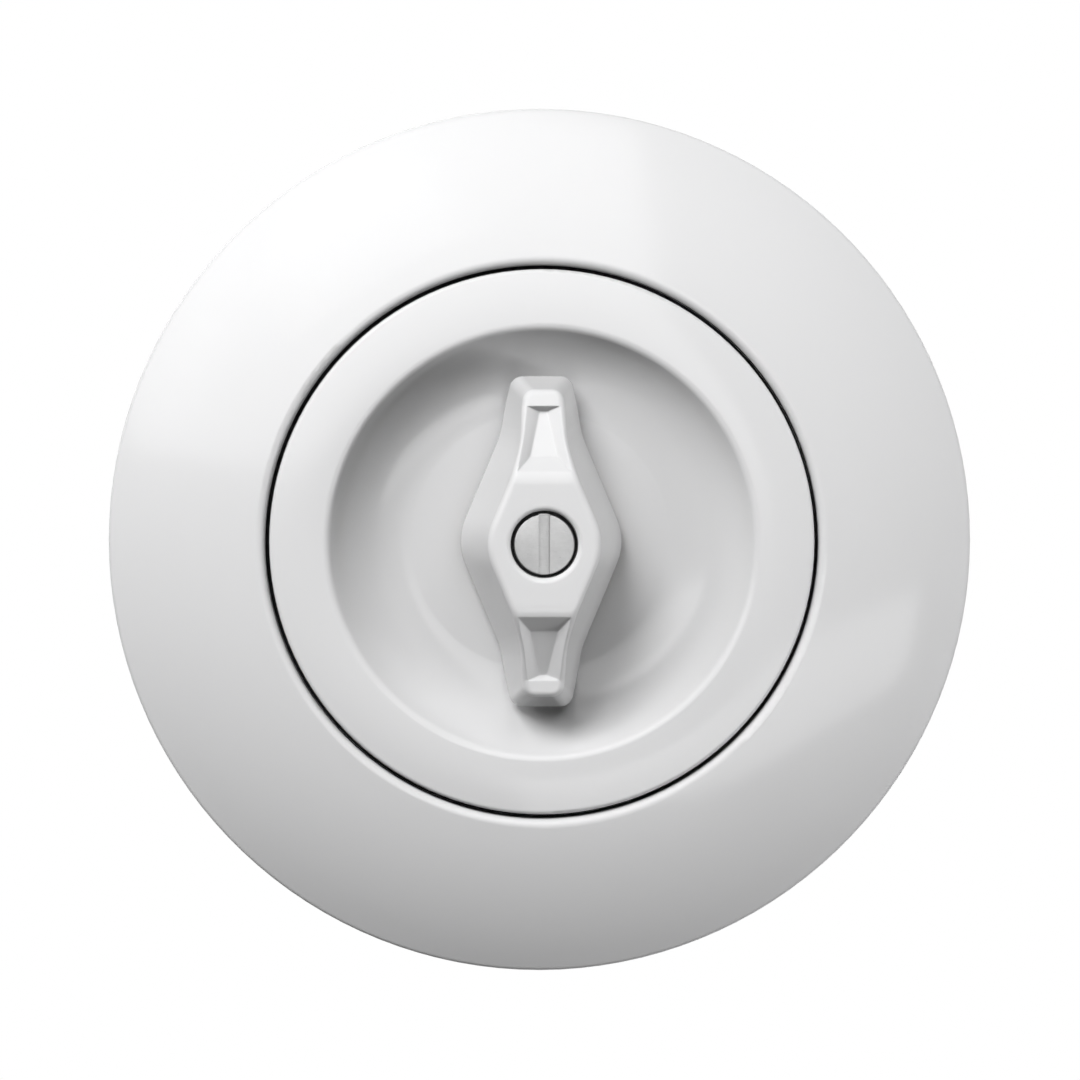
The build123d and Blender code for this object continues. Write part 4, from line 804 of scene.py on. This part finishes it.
def make_surroundings():
    """White to the camera and in reflections, and a low even light on the object."""
    world = bpy.data.worlds.new("surroundings")
    world.use_nodes = True
    tree = world.node_tree
    background = tree.nodes["Background"]
    level = between(tree, seen_white(tree), AMBIENT_LEVEL, 1.0, start=0, end=1)
    tree.links.new(level, background.inputs["Strength"])
    background.inputs["Color"].default_value = (1, 1, 1, 1)
    bpy.context.scene.world = world


def make_floor(studio):
    """Pale floor well below the object: near white to the camera, and throws no light on it."""
    bm = bmesh.new()
    bmesh.ops.create_grid(bm, x_segments=1, y_segments=1, size=FLOOR_SIDE / 2)
    bmesh.ops.translate(bm, verts=bm.verts, vec=(0, 0, CAD_BOX[0].z - studio.floor_drop))
    mesh = bpy.data.meshes.new("floor")
    bm.to_mesh(mesh)
    bm.free()
    floor = bpy.data.objects.new("floor", mesh)
    bpy.context.scene.collection.objects.link(floor)
    material, tree, shader = start_material("pale_floor")
    cloud = noise(tree, place_on_object(tree), per_metre=6, detail=2)
    tree.links.new(mixed_colour(tree, cloud, *FLOOR_TONES), shader.inputs["Base Color"])
    shader.inputs["Roughness"].default_value = 0.9
    glow = tree.nodes.new("ShaderNodeEmission")
    blend = tree.nodes.new("ShaderNodeMixShader")
    share = between(tree, seen_white(tree), 0.0, FLOOR_GLOW, start=0, end=1)
    tree.links.new(share, blend.inputs["Fac"])
    tree.links.new(shader.outputs["BSDF"], blend.inputs[1])
    tree.links.new(glow.outputs["Emission"], blend.inputs[2])
    tree.links.new(blend.outputs["Shader"], tree.nodes["Material Output"].inputs["Surface"])
    give_finish(floor, material)
    floor.visible_diffuse = False


# Operators


class DIMMER_OT_finish_nodes(bpy.types.Operator):
    """Gives every solid of the frame its finish"""

    bl_idname = "dimmer.finish_nodes"
    bl_label = "Finish Solids"

    def execute(self, context):
        for node, piece in frame["nodes"].items():
            give_finish(piece, finish_of(slot_of(node)))
        return {"FINISHED"}


class DIMMER_OT_knob_screw(bpy.types.Operator):
    """Models the slotted screw in the knob, with its thread"""

    bl_idname = "dimmer.knob_screw"
    bl_label = "Knob Screw"

    def execute(self, context):
        screws = context.scene.dimmer_screws
        ((low, high),) = solids_of("knob_screw")
        seat = height_span("knob_washer")[1]
        radius = (high.x - low.x) / 2
        head = screw_head(
            radius, high.z - seat, KNOB_HEAD_EDGE, screws.slot_width, screws.slot_depth
        )
        rod = thread(
            screws.knob_shank, KNOB_THREAD_DEPTH, screws.pitch, low.z, seat, screws.thread_steps
        )
        whole = joined(moved(head, (0, 0, seat)), rod)
        piece = as_piece("knob_screw_slotted", whole, "knob_group", "nickel_screw")
        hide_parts("knob_screw")
        return {"FINISHED"}


class DIMMER_OT_claw_screws(bpy.types.Operator):
    """Models the two long screws that draw the claws in"""

    bl_idname = "dimmer.claw_screws"
    bl_label = "Claw Screws"

    def execute(self, context):
        screws = context.scene.dimmer_screws
        seat = height_span("support_plate")[1]
        for side in ("left", "right"):
            node = f"claw_screw_{side}"
            ((low, high),) = solids_of(node)
            middle = (low + high) / 2
            radius = (high.x - low.x) / 2
            head = screw_head(
                radius,
                high.z - seat,
                CLAW_HEAD_EDGE,
                screws.small_slot_width,
                CLAW_SLOT_DEPTH,
                cross=True,
            )
            shank = screws.shank
            neck = turned(
                [(0, NECK_TOP), (shank, NECK_TOP), (shank, NECK_FOOT), (0, NECK_FOOT)],
                NECK_STEPS,
            )
            rod = thread(
                shank,
                FIXING_THREAD_DEPTH,
                screws.pitch,
                low.z - seat,
                CLAW_THREAD_TOP,
                screws.thread_steps,
            )
            whole = moved(joined(head, neck, rod), (middle.x, middle.y, seat))
            piece = as_piece(f"{node}_threaded", whole, "root", slot_of(node))
            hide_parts(node)
        return {"FINISHED"}


class DIMMER_OT_rear_screws(bpy.types.Operator):
    """Models the terminal screws and the case screws, all turned from the rear"""

    bl_idname = "dimmer.rear_screws"
    bl_label = "Rear Screws"

    def execute(self, context):
        screws = context.scene.dimmer_screws
        for node, shank, pitch, height in (
            ("terminal_screws", screws.shank, screws.pitch, screws.terminal_head),
            ("case_screws", screws.case_shank, screws.case_pitch, screws.case_head),
        ):
            made = []
            for low, high in solids_of(node):
                middle = (low + high) / 2
                radius = (high.x - low.x) / 2
                head = screw_head(
                    radius,
                    height,
                    REAR_HEAD_EDGE,
                    screws.small_slot_width,
                    SMALL_SLOT_DEPTH,
                    cross=True,
                )
                length = high.z - low.z - height
                rod = thread(
                    shank,
                    REAR_THREAD_DEPTH,
                    pitch,
                    -length,
                    REAR_THREAD_LAP,
                    screws.thread_steps,
                )
                place = (middle.x, middle.y, low.z + height)
                made.append(moved(joined(head, rod), place, turned_over=True))
            piece = as_piece(f"{node}_slotted", joined(*made), "root", slot_of(node))
            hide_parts(node)
        return {"FINISHED"}


class DIMMER_OT_plate_screws(bpy.types.Operator):
    """Models the two countersunk screws of the support plate"""

    bl_idname = "dimmer.plate_screws"
    bl_label = "Plate Screws"

    def execute(self, context):
        screws = context.scene.dimmer_screws
        made = []
        for low, high in solids_of("plate_screws"):
            middle = (low + high) / 2
            radius = (high.x - low.x) / 2
            head = countersunk_head(radius, screws.shank, screws.small_slot_width)
            rod = thread(
                screws.shank,
                FIXING_THREAD_DEPTH,
                screws.pitch,
                low.z - high.z,
                screws.shank - radius - COUNTERSUNK_EDGE + PLATE_THREAD_LAP,
                screws.thread_steps,
            )
            made.append(moved(joined(head, rod), (middle.x, middle.y, high.z)))
        piece = as_piece("plate_screws_slotted", joined(*made), "root", slot_of("plate_screws"))
        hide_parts("plate_screws")
        return {"FINISHED"}


class DIMMER_OT_return_spring(bpy.types.Operator):
    """Models the coil spring that pushes the knob out again"""

    bl_idname = "dimmer.return_spring"
    bl_label = "Return Spring"

    def execute(self, context):
        spring = context.scene.dimmer_spring
        ((low, high),) = solids_of("return_spring")
        middle = (low + high) / 2
        wire = spring.wire_radius
        coil = (high.x - low.x) / 2 - wire
        rise = high.z - low.z - 2 * wire
        bm = bmesh.new()
        ring = bmesh.ops.create_circle(bm, cap_ends=True, radius=wire, segments=WIRE_STEPS)
        stand = Matrix.Translation((coil, 0, low.z + wire)) @ Matrix.Rotation(pi / 2, 4, "X")
        bmesh.ops.transform(bm, matrix=stand, verts=ring["verts"])
        steps = int(spring.turns * COIL_STEPS)
        bmesh.ops.spin(
            bm,
            geom=bm.verts[:] + bm.edges[:] + bm.faces[:],
            cent=(0, 0, 0),
            axis=(0, 0, 1),
            dvec=(0, 0, rise / steps),
            angle=2 * pi * spring.turns,
            steps=steps,
            use_duplicate=False,
        )
        clean(bm)
        moved(bm, (middle.x, middle.y, 0))
        piece = as_piece("return_spring_coiled", bm, "root", slot_of("return_spring"))
        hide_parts("return_spring")
        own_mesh(piece)
        return {"FINISHED"}


class DIMMER_OT_studio(bpy.types.Operator):
    """Sets the camera, the floor, the white surroundings and the softboxes"""

    bl_idname = "dimmer.studio"
    bl_label = "Studio"

    def execute(self, context):
        studio = context.scene.dimmer_studio
        make_camera(studio)
        make_floor(studio)
        make_surroundings()
        for name, corner, across, up, level in PANELS:
            make_softbox(name, corner, across, up, level * studio.lamp_level).visible_diffuse = False
        for name, direction, off_axis, width, level in LAMPS:
            make_lamp(name, direction, off_axis, width, level * studio.lamp_level)
        context.scene.view_settings.view_transform = "Standard"
        return {"FINISHED"}


# Panel and registration


class DIMMER_PT_dressing(bpy.types.Panel):
    """Lists the dimmer's settings and the steps that dress it"""

    bl_label = "Dimmer"
    bl_idname = "DIMMER_PT_dressing"
    bl_space_type = "VIEW_3D"
    bl_region_type = "UI"
    bl_category = "Dimmer"

    def draw(self, context):
        for name, settings in SETTINGS.items():
            column = self.layout.column()
            for key in settings.__annotations__:
                column.prop(getattr(context.scene, name), key)
        for operator in STEPS:
            self.layout.operator(operator.bl_idname)


SETTINGS = {
    "dimmer_cover": CoverSettings,
    "dimmer_screws": ScrewSettings,
    "dimmer_spring": SpringSettings,
    "dimmer_studio": StudioSettings,
}
STEPS = (
    DIMMER_OT_studio,
    DIMMER_OT_finish_nodes,
    DIMMER_OT_knob_screw,
    DIMMER_OT_claw_screws,
    DIMMER_OT_rear_screws,
    DIMMER_OT_plate_screws,
    DIMMER_OT_return_spring,
)
CLASSES = (*SETTINGS.values(), *STEPS, DIMMER_PT_dressing)


def register():
    for item in CLASSES:
        bpy.utils.register_class(item)
    for name, settings in SETTINGS.items():
        setattr(bpy.types.Scene, name, PointerProperty(type=settings))


def unregister():
    for name in SETTINGS:
        delattr(bpy.types.Scene, name)
    for item in reversed(CLASSES):
        bpy.utils.unregister_class(item)


def main():
    """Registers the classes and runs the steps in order."""
    register()
    for operator in STEPS:
        group, step = operator.bl_idname.split(".")
        getattr(getattr(bpy.ops, group), step)()


if __name__ == "__main__":
    main()
